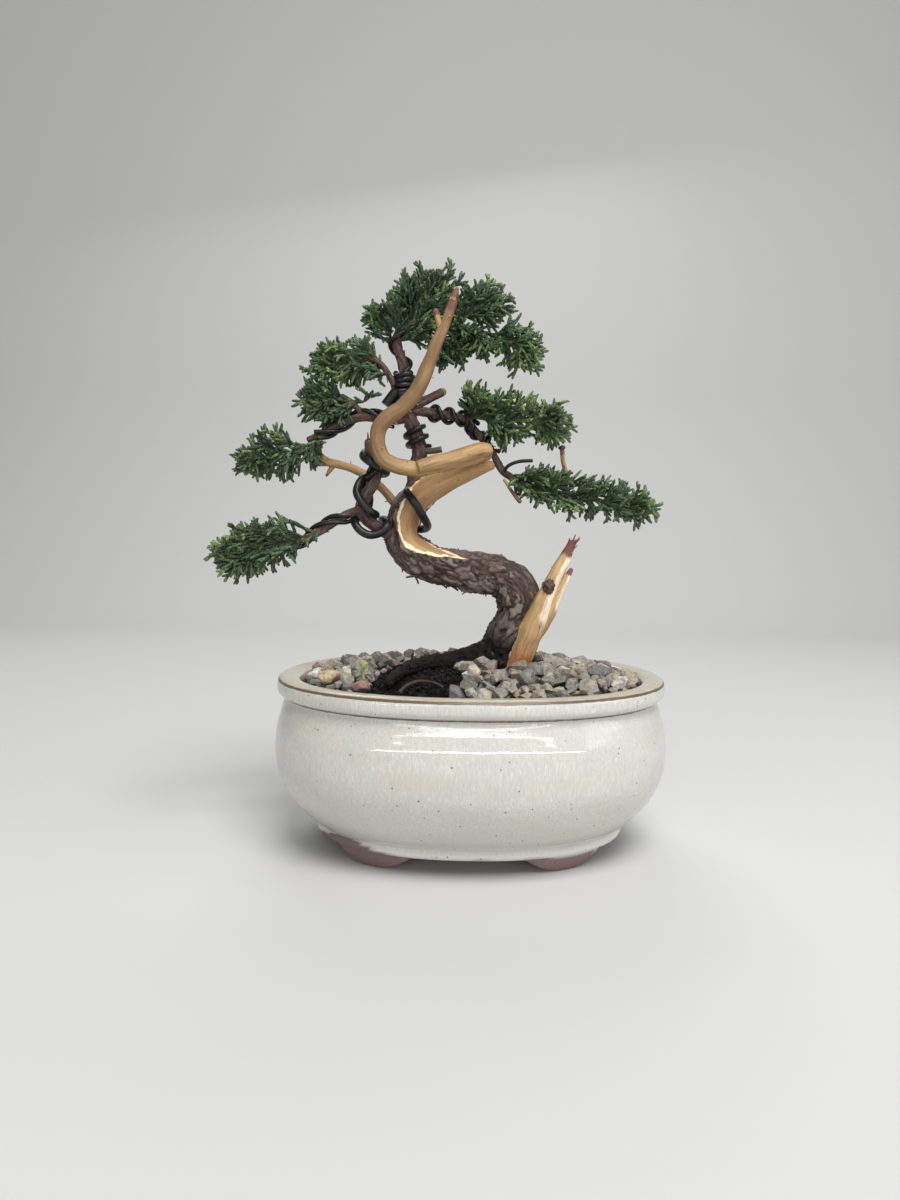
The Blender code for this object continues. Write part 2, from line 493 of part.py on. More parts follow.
def build_tree():
    """Trunk, roots, deadwood, live leader and branches, each from its own stations."""
    limb("trunk", TRUNK, "bark")
    limb("root_left", LEFT_ROOT, "bark", ("trunk",))
    limb("fine_rootlet", ROOTLET, "bark")
    limb("sprout", SPROUT, "fresh_shoot")
    limb("deadwood_lower_jin", LOWER_JIN, "bare_wood", ("trunk",))
    limb("deadwood_long_jin", LONG_JIN, "bare_wood", ("trunk",))
    limb("deadwood_jin_fork", LONG_JIN_FORK, "bare_wood", ("deadwood_long_jin",))
    limb("deadwood_left_jin", LEFT_JIN, "bare_wood", ("trunk",))
    limb("live_leader", LEADER, "bark", ("trunk",))
    limb("branch_left_upright", LEFT_UPRIGHT, "bark", ("trunk",))
    limb("branch_lower_left", LOWER_LEFT, "bark", ("branch_left_upright",))
    limb("branch_middle_left", MIDDLE_LEFT, "bark", ("live_leader",))
    limb("branch_upper_left", UPPER_LEFT, "bark", ("live_leader",))
    limb("branch_upper_left_low", UPPER_LEFT_LOW, "bark", ("branch_middle_left",))
    limb("branch_right", RIGHT_UPPER, "bark", ("live_leader", "trunk", "deadwood_long_jin"))
    limb("cut_stub", CUT_STUB, "bark", ("live_leader", "branch_right"))
    limb("twig_right_upper", RIGHT_TWIG, "bark", ("branch_right",))
    limb("twig_apex", APEX_TWIG, "bark", ("live_leader",))
    limb("dead_twig", DEAD_TWIG, "bare_wood")


def build_wires():
    """The training wires: one heavy wire from trunk to left branch, and the lighter coils."""
    trunk_loop = coil(PATHS["trunk"], 0.765, 0.665, 1.03, 60.0, TRUNK_WIRE_RADIUS + GAP, 12)
    branch_turns = coil(PATHS["branch_left_upright"], 0.50, 0.92, 2.0, 180.0, TRUNK_WIRE_RADIUS)
    route = [tuple(p) for p in trunk_loop] + list(TRUNK_WIRE_LEAD) + [tuple(p) for p in branch_turns]
    place(curve_tube("wire_trunk", route, TRUNK_WIRE_RADIUS), "black_wire")
    for name, radius, carrier, start, end, turns, angle in COILS:
        points = coil(PATHS[carrier], start, end, turns, angle, radius)
        place(curve_tube(name, points, radius), "black_wire")


def build_foliage():
    """A closed pad for each cloud of foliage, open where its twig goes in."""
    for number, (name, centre, half_sizes, tilt, limbs) in enumerate(PADS):
        pad = place(lumpy_ball(name, centre, half_sizes, PAD_LUMPS, 11.0 + number,
                               Matrix.Rotation(math.radians(tilt), 4, "Y"), 2), "juniper_green")
        for limb_name in limbs:
            room = WIRE_ALLOWANCE if limb_name in WIRED_LIMBS else GAP
            boolean(pad, clearance(limb_name, room), "DIFFERENCE")


clear_scene()
MODEL = bpy.data.collections.new("juniper_bonsai")
CUTTERS = bpy.data.collections.new("cutters")
for collection in (MODEL, CUTTERS):
    bpy.context.scene.collection.children.link(collection)
POT_CENTRE = bpy.data.objects.new("pot_centre", None)
POT_CENTRE.location = (BOX_SHIFT[0] * MM, BOX_SHIFT[1] * MM, 0.0)
MODEL.objects.link(POT_CENTRE)
PATHS = {}

build_pot()
build_drainage("left", -DRAIN_HOLE_X)
build_drainage("right", DRAIN_HOLE_X)
build_tree()
build_soil()
build_gravel_bed()
build_stones()
build_wires()
build_foliage()
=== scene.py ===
"""Looks of a small wired juniper bonsai with carved deadwood, in a cream-glazed oval pot.

Lengths in the sizes below are in millimetres from the pot's centre on the table, with X along the
pot, Y to the back and Z up, unless a name says otherwise. Meshes are made in metres.
"""

import json
import logging
import math
import random
from dataclasses import dataclass, field
from enum import Enum
from typing import Callable, Iterable, Sequence

import bmesh
import bpy
import numpy as np
from mathutils import Matrix, Vector, noise

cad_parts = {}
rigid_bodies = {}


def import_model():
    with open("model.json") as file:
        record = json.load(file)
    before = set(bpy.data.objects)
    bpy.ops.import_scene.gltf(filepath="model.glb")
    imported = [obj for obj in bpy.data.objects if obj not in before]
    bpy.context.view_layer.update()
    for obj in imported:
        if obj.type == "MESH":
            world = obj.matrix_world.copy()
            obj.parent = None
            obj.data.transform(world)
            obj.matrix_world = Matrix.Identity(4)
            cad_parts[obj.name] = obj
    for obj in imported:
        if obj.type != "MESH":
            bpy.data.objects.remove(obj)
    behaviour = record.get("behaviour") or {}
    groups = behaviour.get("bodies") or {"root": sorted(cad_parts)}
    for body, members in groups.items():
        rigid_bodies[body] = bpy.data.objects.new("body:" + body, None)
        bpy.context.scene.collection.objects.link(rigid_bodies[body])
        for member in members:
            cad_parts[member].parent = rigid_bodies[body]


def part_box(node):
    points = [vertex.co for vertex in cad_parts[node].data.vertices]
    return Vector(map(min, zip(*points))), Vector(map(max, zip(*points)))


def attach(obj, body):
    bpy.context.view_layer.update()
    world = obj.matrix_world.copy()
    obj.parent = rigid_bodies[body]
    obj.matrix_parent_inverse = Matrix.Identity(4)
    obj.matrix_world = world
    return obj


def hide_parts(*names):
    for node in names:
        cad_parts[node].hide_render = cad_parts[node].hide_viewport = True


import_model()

LOG = logging.getLogger("bonsai")
MM = 0.001
BODY = "root"
Point = tuple[float, float, float]
Colour = Point
Pair = tuple[float, float]
Station = tuple[float, ...]
Socket = bpy.types.NodeSocket
Material = bpy.types.Material
Object = bpy.types.Object


def smoothstep(low: float, high: float, value: float) -> float:
    """Ease from 0 at low to 1 at high."""
    t = min(1.0, max(0.0, (value - low) / (high - low)))
    return t * t * (3.0 - 2.0 * t)


def noise_at(x: float, y: float, z: float) -> float:
    """Smooth noise of about -1 to 1 at a point."""
    return noise.noise(Vector((x, y, z)))


def round_noise(angle: float, run: float, size: float, length: float, shift: float = 0.0,
                lift: float = 0.0) -> float:
    """Smooth noise on a limb's skin.

    Args:
        angle: the angle round the limb, in radians.
        run: how far along it, in millimetres.
        size: how fine the noise is round the limb.
        length: how long its features are along it.
        shift: moves the pattern.
        lift: moves it the other way.

    Returns:
        About -1 to 1.
    """
    return noise_at(math.cos(angle) * size + shift, math.sin(angle) * size + lift, run / length)


def plate_at(x: float, y: float, z: float) -> Pair:
    """Plates of bark: 0 in a crack to 1 on a plate, and the plate's own value of -1 to 1."""
    gaps, seeds = noise.voronoi(Vector((x, y, z)))
    return smoothstep(0.02, 0.30, gaps[1] - gaps[0]), noise.cell(seeds[0] * 7.3)


# --- node graphs

class NodeGraph:
    """Adds nodes to a tree, sets their inputs by name and joins them."""

    def __init__(self, tree: bpy.types.NodeTree) -> None:
        """Work on one node tree."""
        self.tree = tree

    @staticmethod
    def find(sockets: Iterable[Socket], name: str) -> Socket:
        """The enabled socket with a name, written in lower case with underscores.

        Args:
            sockets: a node's inputs or outputs.
            name: the name looked for.

        Returns:
            The socket.
        """
        for socket in sockets:
            if socket.enabled and socket.name.lower().replace(" ", "_") == name:
                return socket
        raise KeyError(name)

    def feed(self, socket: Socket, value: object) -> None:
        """Set a socket to a value, or join it to a node or another socket.

        Args:
            socket: the input.
            value: a number, tuple, material, node or socket.
        """
        if isinstance(value, bpy.types.Node):
            value = next(out for out in value.outputs if out.enabled)
        if isinstance(value, Socket):
            self.tree.links.new(value, socket)
        elif isinstance(value, tuple) and len(value) == 3 and socket.type == "RGBA":
            socket.default_value = (*value, 1.0)
        else:
            socket.default_value = value

    def add(self, kind: str, settings: dict | None = None, **inputs: object) -> bpy.types.Node:
        """Make a node.

        Args:
            kind: the node's type name.
            settings: properties to set before the inputs.
            inputs: values, nodes or sockets by input name.

        Returns:
            The new node.
        """
        node = self.tree.nodes.new(kind)
        for key, value in (settings or {}).items():
            setattr(node, key, value)
        for name, value in inputs.items():
            self.feed(self.find(node.inputs, name), value)
        return node

    def maths(self, operation: str, *values: object, clamp: bool = False) -> Socket:
        """The result of a Math node.

        Args:
            operation: the node's operation.
            values: one to three numbers or sockets.
            clamp: whether the result is kept in 0 to 1.

        Returns:
            The result.
        """
        node = self.tree.nodes.new("ShaderNodeMath")
        node.operation = operation
        node.use_clamp = clamp
        for socket, value in zip(node.inputs, values):
            self.feed(socket, value)
        return node.outputs[0]

    def times(self, a: object, b: object) -> Socket:
        """The product of two values."""
        return self.maths("MULTIPLY", a, b)

    def plus(self, a: object, b: object) -> Socket:
        """The sum of two values."""
        return self.maths("ADD", a, b)

    def line(self, value: object, slope: object, offset: object) -> Socket:
        """A value times a slope, plus an offset."""
        return self.maths("MULTIPLY_ADD", value, slope, offset)


class ShaderGraph(NodeGraph):
    """A Principled material under construction, patterned on Object coordinates."""

    def __init__(self, name: str) -> None:
        """Start a named material.

        Args:
            name: the material's name.
        """
        self.material = bpy.data.materials.new(name)
        self.material.use_nodes = True
        super().__init__(self.material.node_tree)
        self.shader = self.tree.nodes["Principled BSDF"]

    def attribute(self, name: str, output: str = "Fac") -> Socket:
        """A number, or the vector, that the mesh carries at each point.

        Args:
            name: the attribute's name.
            output: Fac for a number, Vector for a vector.

        Returns:
            The value.
        """
        node = self.tree.nodes.new("ShaderNodeAttribute")
        node.attribute_name = name
        return node.outputs[output]

    def coordinates(self, size: float | Point, grain: bool) -> Socket:
        """Coordinates in which one unit is a size in millimetres.

        Args:
            size: one size, or one for each direction.
            grain: whether to follow the limb's own grain instead of the object.

        Returns:
            The scaled vector.
        """
        source, unit = (self.attribute("grain", "Vector"), 1.0) if grain else (
            self.tree.nodes.new("ShaderNodeTexCoord").outputs["Object"], MM)
        extents = size if isinstance(size, tuple) else (size, size, size)
        scale = tuple(1.0 / (extent * unit) for extent in extents)
        return self.add("ShaderNodeMapping", vector=source, scale=scale).outputs[0]

    def noise(self, size: float | Point, detail: float = 4.0, roughness: float = 0.55,
              distortion: float = 0.0, grain: bool = False) -> Socket:
        """Noise of 0 to 1.

        Args:
            size: about how large its features are, in millimetres.
            detail: how many octaves it has.
            roughness: how strong the fine octaves are.
            distortion: how much it is bent.
            grain: whether it follows a limb's grain.

        Returns:
            The noise.
        """
        vector = self.coordinates(size, grain)
        return self.add("ShaderNodeTexNoise", vector=vector, scale=1.0, detail=detail, roughness=roughness,
                        distortion=distortion).outputs["Fac"]

    def cells(self, size: float | Point, grain: bool = False) -> Socket:
        """Voronoi distance, for cells of about size millimetres."""
        vector = self.coordinates(size, grain)
        return self.add("ShaderNodeTexVoronoi", vector=vector, scale=1.0).outputs["Distance"]

    def grain_noise(self, size: Point, detail: float = 4.0, roughness: float = 0.55) -> Socket:
        """Noise of 0 to 1 along a limb's grain."""
        return self.noise(size, detail, roughness, grain=True)

    def ramp(self, factor: object, *stops: tuple[float, float | Colour]) -> Socket:
        """A colour ramp.

        Args:
            factor: what drives it.
            stops: places with a grey value or a colour each.

        Returns:
            The colour output.
        """
        node = self.tree.nodes.new("ShaderNodeValToRGB")
        self.feed(node.inputs[0], factor)
        elements = node.color_ramp.elements
        while len(elements) < len(stops):
            elements.new(0.5)
        for element, (place, value) in zip(elements, stops):
            element.position = place
            element.color = (*value, 1.0) if isinstance(value, tuple) else (value, value, value, 1.0)
        return node.outputs["Color"]

    def mix(self, factor: object, a: object, b: object, blend: str = "MIX") -> Socket:
        """A mix of two colours."""
        node = self.add("ShaderNodeMix", {"data_type": "RGBA", "blend_type": blend}, factor=factor, a=a, b=b)
        return next(out for out in node.outputs if out.enabled)

    def veil(self, under: object, colour: object, factor: object, *stops: Pair) -> Socket:
        """Lay a colour over another where the ramp of a factor is light."""
        return self.mix(self.ramp(factor, *stops), under, colour)

    def set(self, **inputs: object) -> None:
        """Set or join the shader's own sockets by name."""
        for name, value in inputs.items():
            self.feed(self.find(self.shader.inputs, name), value)

    def bump(self, *layers: tuple[Socket, float]) -> None:
        """Stack bumps on the shader's normal.

        Args:
            layers: heights, each with how many millimetres it stands.
        """
        normal = None
        for height, depth in layers:
            node = self.tree.nodes.new("ShaderNodeBump")
            node.inputs["Strength"].default_value = 1.0
            node.inputs["Distance"].default_value = depth * MM
            self.feed(node.inputs["Height"], height)
            if normal is not None:
                self.tree.links.new(normal, node.inputs["Normal"])
            normal = node.outputs["Normal"]
        self.tree.links.new(normal, self.shader.inputs["Normal"])


class GeometryTree(NodeGraph):
    """A Geometry Nodes tree with named inputs, ending in Realize Instances and Set Material."""

    def __init__(self, name: str, material: Material) -> None:
        """Start a tree that takes a guide mesh and gives pieces of one material.

        Args:
            name: the tree's name.
            material: what its pieces are made of.
        """
        tree = bpy.data.node_groups.new(name, "GeometryNodeTree")
        tree.interface.new_socket("Geometry", in_out="INPUT", socket_type="NodeSocketGeometry")
        tree.interface.new_socket("Geometry", in_out="OUTPUT", socket_type="NodeSocketGeometry")
        super().__init__(tree)
        self.material = material
        self.entry = tree.nodes.new("NodeGroupInput")
        self.exit = tree.nodes.new("NodeGroupOutput")
        self.identifiers: dict[str, str] = {}

    @property
    def guide(self) -> Socket:
        """The guide mesh that the modifier is on."""
        return self.entry.outputs["Geometry"]

    def size(self, name: str, whole: bool = False) -> Socket:
        """Declare a named number input and return it.

        Args:
            name: the input's name.
            whole: whether it is a whole number.

        Returns:
            The input, to be joined to nodes.
        """
        kind = "NodeSocketInt" if whole else "NodeSocketFloat"
        item = self.tree.interface.new_socket(name, in_out="INPUT", socket_type=kind)
        self.identifiers[name] = item.identifier
        return self.entry.outputs[name]

    def stored(self, name: str, data_type: str = "FLOAT") -> Socket:
        """An attribute that the guide mesh carries."""
        return self.add("GeometryNodeInputNamedAttribute", {"data_type": data_type}, name=name).outputs[0]

    def chance(self, low: object, high: object, seed: int, kind: str = "FLOAT") -> Socket:
        """A random value for each element, with a fixed seed.

        Args:
            low: the least value.
            high: the greatest value.
            seed: the seed.
            kind: FLOAT or INT.

        Returns:
            The value.
        """
        node = self.tree.nodes.new("FunctionNodeRandomValue")
        node.data_type = kind
        self.feed(self.find(node.inputs, "min"), low)
        self.feed(self.find(node.inputs, "max"), high)
        self.feed(self.find(node.inputs, "seed"), seed)
        return next(out for out in node.outputs if out.enabled)

    def group(self, shapes: Sequence[Socket]) -> Socket:
        """Several shapes as separate instances to pick from.

        Args:
            shapes: the shapes, in order.

        Returns:
            The instances.
        """
        join = self.tree.nodes.new("GeometryNodeJoinGeometry")
        for shape in reversed(shapes):
            instance = self.add("GeometryNodeGeometryToInstance", geometry=shape)
            self.tree.links.new(instance.outputs[0], join.inputs[0])
        return join.outputs[0]

    def finish(self, geometry: object) -> None:
        """Close the tree: realize, shade smooth, set the material.

        Args:
            geometry: the instances.
        """
        real = self.add("GeometryNodeRealizeInstances", geometry=geometry)
        smooth = self.add("GeometryNodeSetShadeSmooth", geometry=real)
        dressed = self.add("GeometryNodeSetMaterial", geometry=smooth, material=self.material)
        self.tree.links.new(dressed.outputs[0], self.exit.inputs[0])

    def grow(self, name: str, guide: Object, **sizes: float) -> Object:
        """Run the tree on a guide and keep the result as a plain mesh.

        Args:
            name: the new piece's name.
            guide: the object that carries the modifier for a moment; it is removed.
            sizes: values for the named inputs.

        Returns:
            The new object.
        """
        modifier = guide.modifiers.new(self.tree.name, "NODES")
        modifier.node_group = self.tree
        for key, value in sizes.items():
            modifier[self.identifiers[key]] = value
        return Maker.add(name, Maker.settled(name, guide))


# --- meshes

class Maker:
    """Makes mesh objects and hands them to the frame."""

    origin = Vector((0.0, 0.0, 0.0))
    count = 0

    @classmethod
    def settle(cls) -> None:
        """Find the pot's centre in the frame, from which every place is measured."""
        low, high = (Vector(corner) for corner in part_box("pot"))
        cls.origin = Vector(((low.x + high.x) / 2.0, (low.y + high.y) / 2.0, low.z))

    @classmethod
    def place(cls, point: Sequence[float]) -> Vector:
        """A place in the frame, in metres, from millimetres about the pot's centre."""
        return cls.origin + Vector(point[:3]) * MM

    @staticmethod
    def add(name: str, data: bpy.types.ID) -> Object:
        """Link a mesh or other data to the scene as an object at the origin.

        Args:
            name: the object's name.
            data: what it holds.

        Returns:
            The object.
        """
        obj = bpy.data.objects.new(name, data)
        bpy.context.scene.collection.objects.link(obj)
        return obj

    @classmethod
    def close(cls, name: str, bm: bmesh.types.BMesh) -> Object:
        """Free a finished bmesh and give it as a smooth object.

        Args:
            name: the object's name.
            bm: the bmesh.

        Returns:
            The object.
        """
        mesh = bpy.data.meshes.new(name)
        bm.to_mesh(mesh)
        bm.free()
        mesh.shade_smooth()
        return cls.add(name, mesh)

    @staticmethod
    def settled(name: str, obj: Object, *tools: Object) -> bpy.types.Mesh:
        """The mesh of an object with its modifiers applied.

        Args:
            name: the mesh's name.
            obj: the object; it is removed.
            tools: objects that its modifiers use; they are removed too.

        Returns:
            The plain mesh.
        """
        bpy.context.view_layer.update()
        evaluated = obj.evaluated_get(bpy.context.evaluated_depsgraph_get())
        mesh = bpy.data.meshes.new_from_object(evaluated)
        mesh.name = name
        for old in (obj, *tools):
            bpy.data.objects.remove(old, do_unlink=True)
        return mesh

    @classmethod
    def grid(cls, name: str, rows: Sequence[Sequence[Sequence[float]]], closed: bool = True) -> Object:
        """A skin through rows of points that go round, each row closed on itself.

        Args:
            name: the object's name.
            rows: rings of points in millimetres, all with the same count.
            closed: whether a fan closes each end.

        Returns:
            The new object.
        """
        sides = len(rows[0])
        verts = [cls.place(point) for row in rows for point in row]
        faces = []
        for start in range(0, sides * (len(rows) - 1), sides):
            for i in range(sides):
                beside = (i + 1) % sides
                faces.append((start + i, start + beside, start + sides + beside, start + sides + i))
        if closed:
            for row, order in ((0, -1), (len(rows) - 1, 1)):
                ring = [row * sides + i for i in range(sides)]
                centre = sum((verts[i] for i in ring), Vector()) / sides
                verts.append(centre)
                hub = len(verts) - 1
                for i, j in zip(ring, ring[1:] + ring[:1]):
                    faces.append((i, j, hub) if order > 0 else (j, i, hub))
        mesh = bpy.data.meshes.new(name)
        mesh.from_pydata(verts, [], faces)
        mesh.shade_smooth()
        return cls.add(name, mesh)

    @staticmethod
    def carry(obj: Object, **lists: Sequence) -> None:
        """Store numbers or vectors at the vertices, padded for the end fans.

        Args:
            obj: the object.
            lists: values for the vertices, by attribute name.
        """
        mesh = obj.data
        for name, values in lists.items():
            data = np.asarray(values, dtype=np.float32)
            vector = data.ndim == 2
            layer = mesh.attributes.new(name, "FLOAT_VECTOR" if vector else "FLOAT", "POINT")
            missing = len(mesh.vertices) - len(data)
            if missing > 0:
                data = np.concatenate([data, np.repeat(data[-1:], missing, axis=0)])
            layer.data.foreach_set("vector" if vector else "value", data.ravel())

    @classmethod
    def dress(cls, obj: Object, material: Material | None, slot: str, *nodes: str) -> None:
        """Give a piece its material and body, and hide the CAD nodes that it stands for.

        Args:
            obj: the piece.
            material: its material, or None if it has one already.
            slot: the record's material slot; not used.
            nodes: CAD nodes that it replaces.
        """
        if material is not None:
            obj.data.materials.clear()
            obj.data.materials.append(material)
        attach(obj, BODY)
        if nodes:
            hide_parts(*nodes)
        cls.count += 1
        LOG.info("%s: %d vertices, %s", obj.name, len(obj.data.vertices), ", ".join(nodes) or "detail")


def smooth_path(stations: Sequence[Station], step: float) -> list[list[float]]:
    """Points about step apart on a smooth curve through the stations.

    Args:
        stations: places with any further values, such as a radius.
        step: the distance between points.

    Returns:
        The points, each with as many values as a station.
    """
    first = [2 * a - b for a, b in zip(stations[0], stations[1])]
    last = [2 * a - b for a, b in zip(stations[-1], stations[-2])]
    guide = [first, *stations, last]
    path = []
    for before, start, end, after in zip(guide, guide[1:], guide[2:], guide[3:]):
        count = max(1, round(math.dist(start[:3], end[:3]) / step))
        for i in range(count):
            t = i / count
            path.append([0.5 * (2 * b + (c - a) * t + (2 * a - 5 * b + 4 * c - d) * t * t
                                + (3 * b - a - 3 * c + d) * t ** 3)
                         for a, b, c, d in zip(before, start, end, after)])
    path.append(list(stations[-1]))
    return path


@dataclass
class Spine:
    """A limb's centre line with a frame at each point: side starts towards +Y, over is tangent x side."""

    stations: Sequence[Station]
    step: float = 0.8
    centres: list[Vector] = field(default_factory=list)
    radii: list[float] = field(default_factory=list)
    tangents: list[Vector] = field(default_factory=list)
    sides: list[Vector] = field(default_factory=list)
    runs: list[float] = field(default_factory=list)
    per_turn: int = 30             # points in each turn of a coil

    def __post_init__(self) -> None:
        """Work out the frames."""
        path = smooth_path(self.stations, self.step)
        last, before = path[-1], path[-2]
        path[-1:] = [[a + (b - a) * share for a, b in zip(last, before)] for share in (0.5, 0.2, 0.05, 0.0)]
        self.centres = [Vector(p[:3]) for p in path]
        self.radii = [p[3] for p in path]
        side = Vector((0.0, 1.0, 0.0))
        run = 0.0
        for i, centre in enumerate(self.centres):
            ahead = self.centres[min(i + 1, len(path) - 1)]
            behind = self.centres[max(i - 1, 0)]
            tangent = (ahead - behind).normalized()
            side = (side - tangent * side.dot(tangent)).normalized()
            if i:
                run += (centre - self.centres[i - 1]).length
            self.tangents.append(tangent)
            self.sides.append(side.copy())
            self.runs.append(run)

    def __len__(self) -> int:
        """How many points there are."""
        return len(self.centres)

    @property
    def length(self) -> float:
        """The whole length in millimetres."""
        return self.runs[-1]

    def outward(self, i: int, angle: float) -> Vector:
        """The direction away from the centre line at a point and an angle in radians."""
        side = self.sides[i]
        return side * math.cos(angle) + self.tangents[i].cross(side) * math.sin(angle)

    def index(self, share: float) -> int:
        """The point at or before a share of the way along."""
        return int(min(0.9999, max(0.0, share)) * (len(self) - 1))

    def at(self, share: float) -> tuple[Vector, Vector, float]:
        """The line at a share of the way along.

        Args:
            share: how far along, from 0 to 1.

        Returns:
            The place, the tangent and the radius.
        """
        i = self.index(share)
        blend = min(0.9999, max(0.0, share)) * (len(self) - 1) - i
        centre = self.centres[i].lerp(self.centres[i + 1], blend)
        return centre, self.tangents[i], self.radii[i] + (self.radii[i + 1] - self.radii[i]) * blend

    def skin(self, name: str, sides: int, radius: Callable[[int, float], float],
             worn: float = 0.8) -> Object:
        """A closed skin round the line, with a worn far end.

        Args:
            name: the object's name.
            sides: points round it.
            radius: gives the radius at a point of the line and an angle.
            worn: how far back the end is rounded, as a share of its radius.

        Returns:
            The new object, with "along" (its direction) stored at each vertex.
        """
        rows, along = [], []
        bevel = worn * self.radii[-1] + 0.01
        for i, centre in enumerate(self.centres):
            row = []
            near = min(1.0, (self.length - self.runs[i]) / bevel)
            shrink = max(0.08, math.sqrt(max(0.0, 1.0 - (1.0 - near) ** 2)))
            for k in range(sides):
                angle = math.tau * k / sides
                row.append(centre + self.outward(i, angle) * radius(i, angle) * shrink)
                along.append(self.tangents[i])
            rows.append(row)
        obj = Maker.grid(name, rows)
        Maker.carry(obj, along=along)
        return obj

    def coil(self, start: float, end: float, turns: float, angle: float, reach: float) -> list[Vector]:
        """Points of a wire wound round part of the line.

        Args:
            start: where it starts, as a share of the line.
            end: where it ends.
            turns: how many turns.
            angle: the angle at the start, in degrees.
            reach: how far the wire's centre stands off the limb's surface.

        Returns:
            The points in millimetres.
        """
        count = max(2, round(turns * self.per_turn))
        points = []
        for k in range(count + 1):
            share = start + (end - start) * k / count
            centre, _, radius = self.at(share)
            turn = math.radians(angle) + math.tau * turns * k / count
            points.append(centre + self.outward(self.index(share), turn) * (radius + reach))
        return points


def tube(name: str, points: Sequence[Sequence[float]], radius: float, resolution: int, step: float) -> Object:
    """A round wire along a smoothed route, as a plain closed mesh.

    Args:
        name: the object's name.
        points: places in millimetres.
        radius: its radius in millimetres.
        resolution: bevel resolution.
        step: how far apart the smoothed points are.

    Returns:
        The new object.
    """
    points = smooth_path([tuple(p) for p in points], step)
    curve = bpy.data.curves.new(name, "CURVE")
    curve.dimensions = "3D"
    curve.bevel_depth = radius * MM
    curve.bevel_resolution = resolution
    curve.use_fill_caps = True
    spline = curve.splines.new("POLY")
    spline.points.add(len(points) - 1)
    for target, point in zip(spline.points, points):
        target.co = (*Maker.place(point), 1.0)
    bm = bmesh.new()
    raw = Maker.settled(name, Maker.add(name, curve))
    bm.from_mesh(raw)
    bpy.data.meshes.remove(raw)
    bmesh.ops.remove_doubles(bm, verts=bm.verts, dist=1e-6)
    bmesh.ops.recalc_face_normals(bm, faces=bm.faces)
    wire = Maker.close(name, bm)
    wire.data.set_sharp_from_angle(angle=math.radians(50.0))
    return wire


def joined(name: str, objects: Sequence[Object]) -> Object:
    """Join several mesh objects into one.

    Args:
        name: the new object's name.
        objects: the objects.

    Returns:
        The first of them, which holds them all.
    """
    first = objects[0]
    if len(objects) > 1:
        with bpy.context.temp_override(active_object=first, selected_editable_objects=list(objects)):
            bpy.ops.object.join()
    first.name = name
    first.data.name = name
    return first


# --- finishes of the plant

@dataclass(frozen=True)
class BarkFinish:
    """Flaky grey-brown bark, redder on young wood and almost black where it is wet."""

    dark: Colour = (0.050, 0.036, 0.032)
    brown: Colour = (0.138, 0.095, 0.079)
    grey: Colour = (0.265, 0.215, 0.185)
    red: Colour = (0.16, 0.070, 0.052)
    redness: float = 0.25
    wet: Colour = (0.0055, 0.0045, 0.0045)
    relief: float = 0.5

    def colours(self, graph: ShaderGraph) -> Socket:
        """Mix the bark's colours on a graph and return the result.

        Args:
            graph: the material's graph.

        Returns:
            The colour.
        """
        strips = graph.grain_noise((1.9, 1.9, 6.5), 5.0, 0.68)
        crumbs = graph.grain_noise((0.9, 0.9, 2.3), 5.0, 0.75)
        patches = graph.grain_noise((6.0, 6.0, 11.0), 3.0)
        tone = graph.veil(self.dark, self.brown, strips, (0.38, 0.0), (0.62, 1.0))
        tone = graph.veil(tone, self.grey, crumbs, (0.50, 0.0), (0.68, 0.8))
        red = graph.times(graph.ramp(patches, (0.42, 0.0), (0.62, 1.0)), self.redness)
        tone = graph.mix(red, tone, self.red)
        tone = graph.veil(tone, self.dark, crumbs, (0.28, 0.8), (0.42, 0.0))
        tone = graph.mix(graph.attribute("plate"), tone, self.grey)
        # painted shade: darker in the cracks between the bark plates
        tone = graph.mix(graph.attribute("crack"), tone, self.dark)
        return graph.mix(graph.attribute("wet"), tone, self.wet)

    def build(self, name: str) -> Material:
        """The bark material under a name.

        Args:
            name: the material's name.

        Returns:
            The material.
        """
        graph = ShaderGraph(name)
        graph.set(base_color=self.colours(graph), roughness=0.88, specular_ior_level=0.2)
        graph.bump((graph.grain_noise((2.2, 2.2, 5.0), 5.0, 0.7), self.relief),
                   (graph.grain_noise((0.6, 0.6, 1.4), 4.0, 0.7), 0.3 * self.relief))
        return graph.material


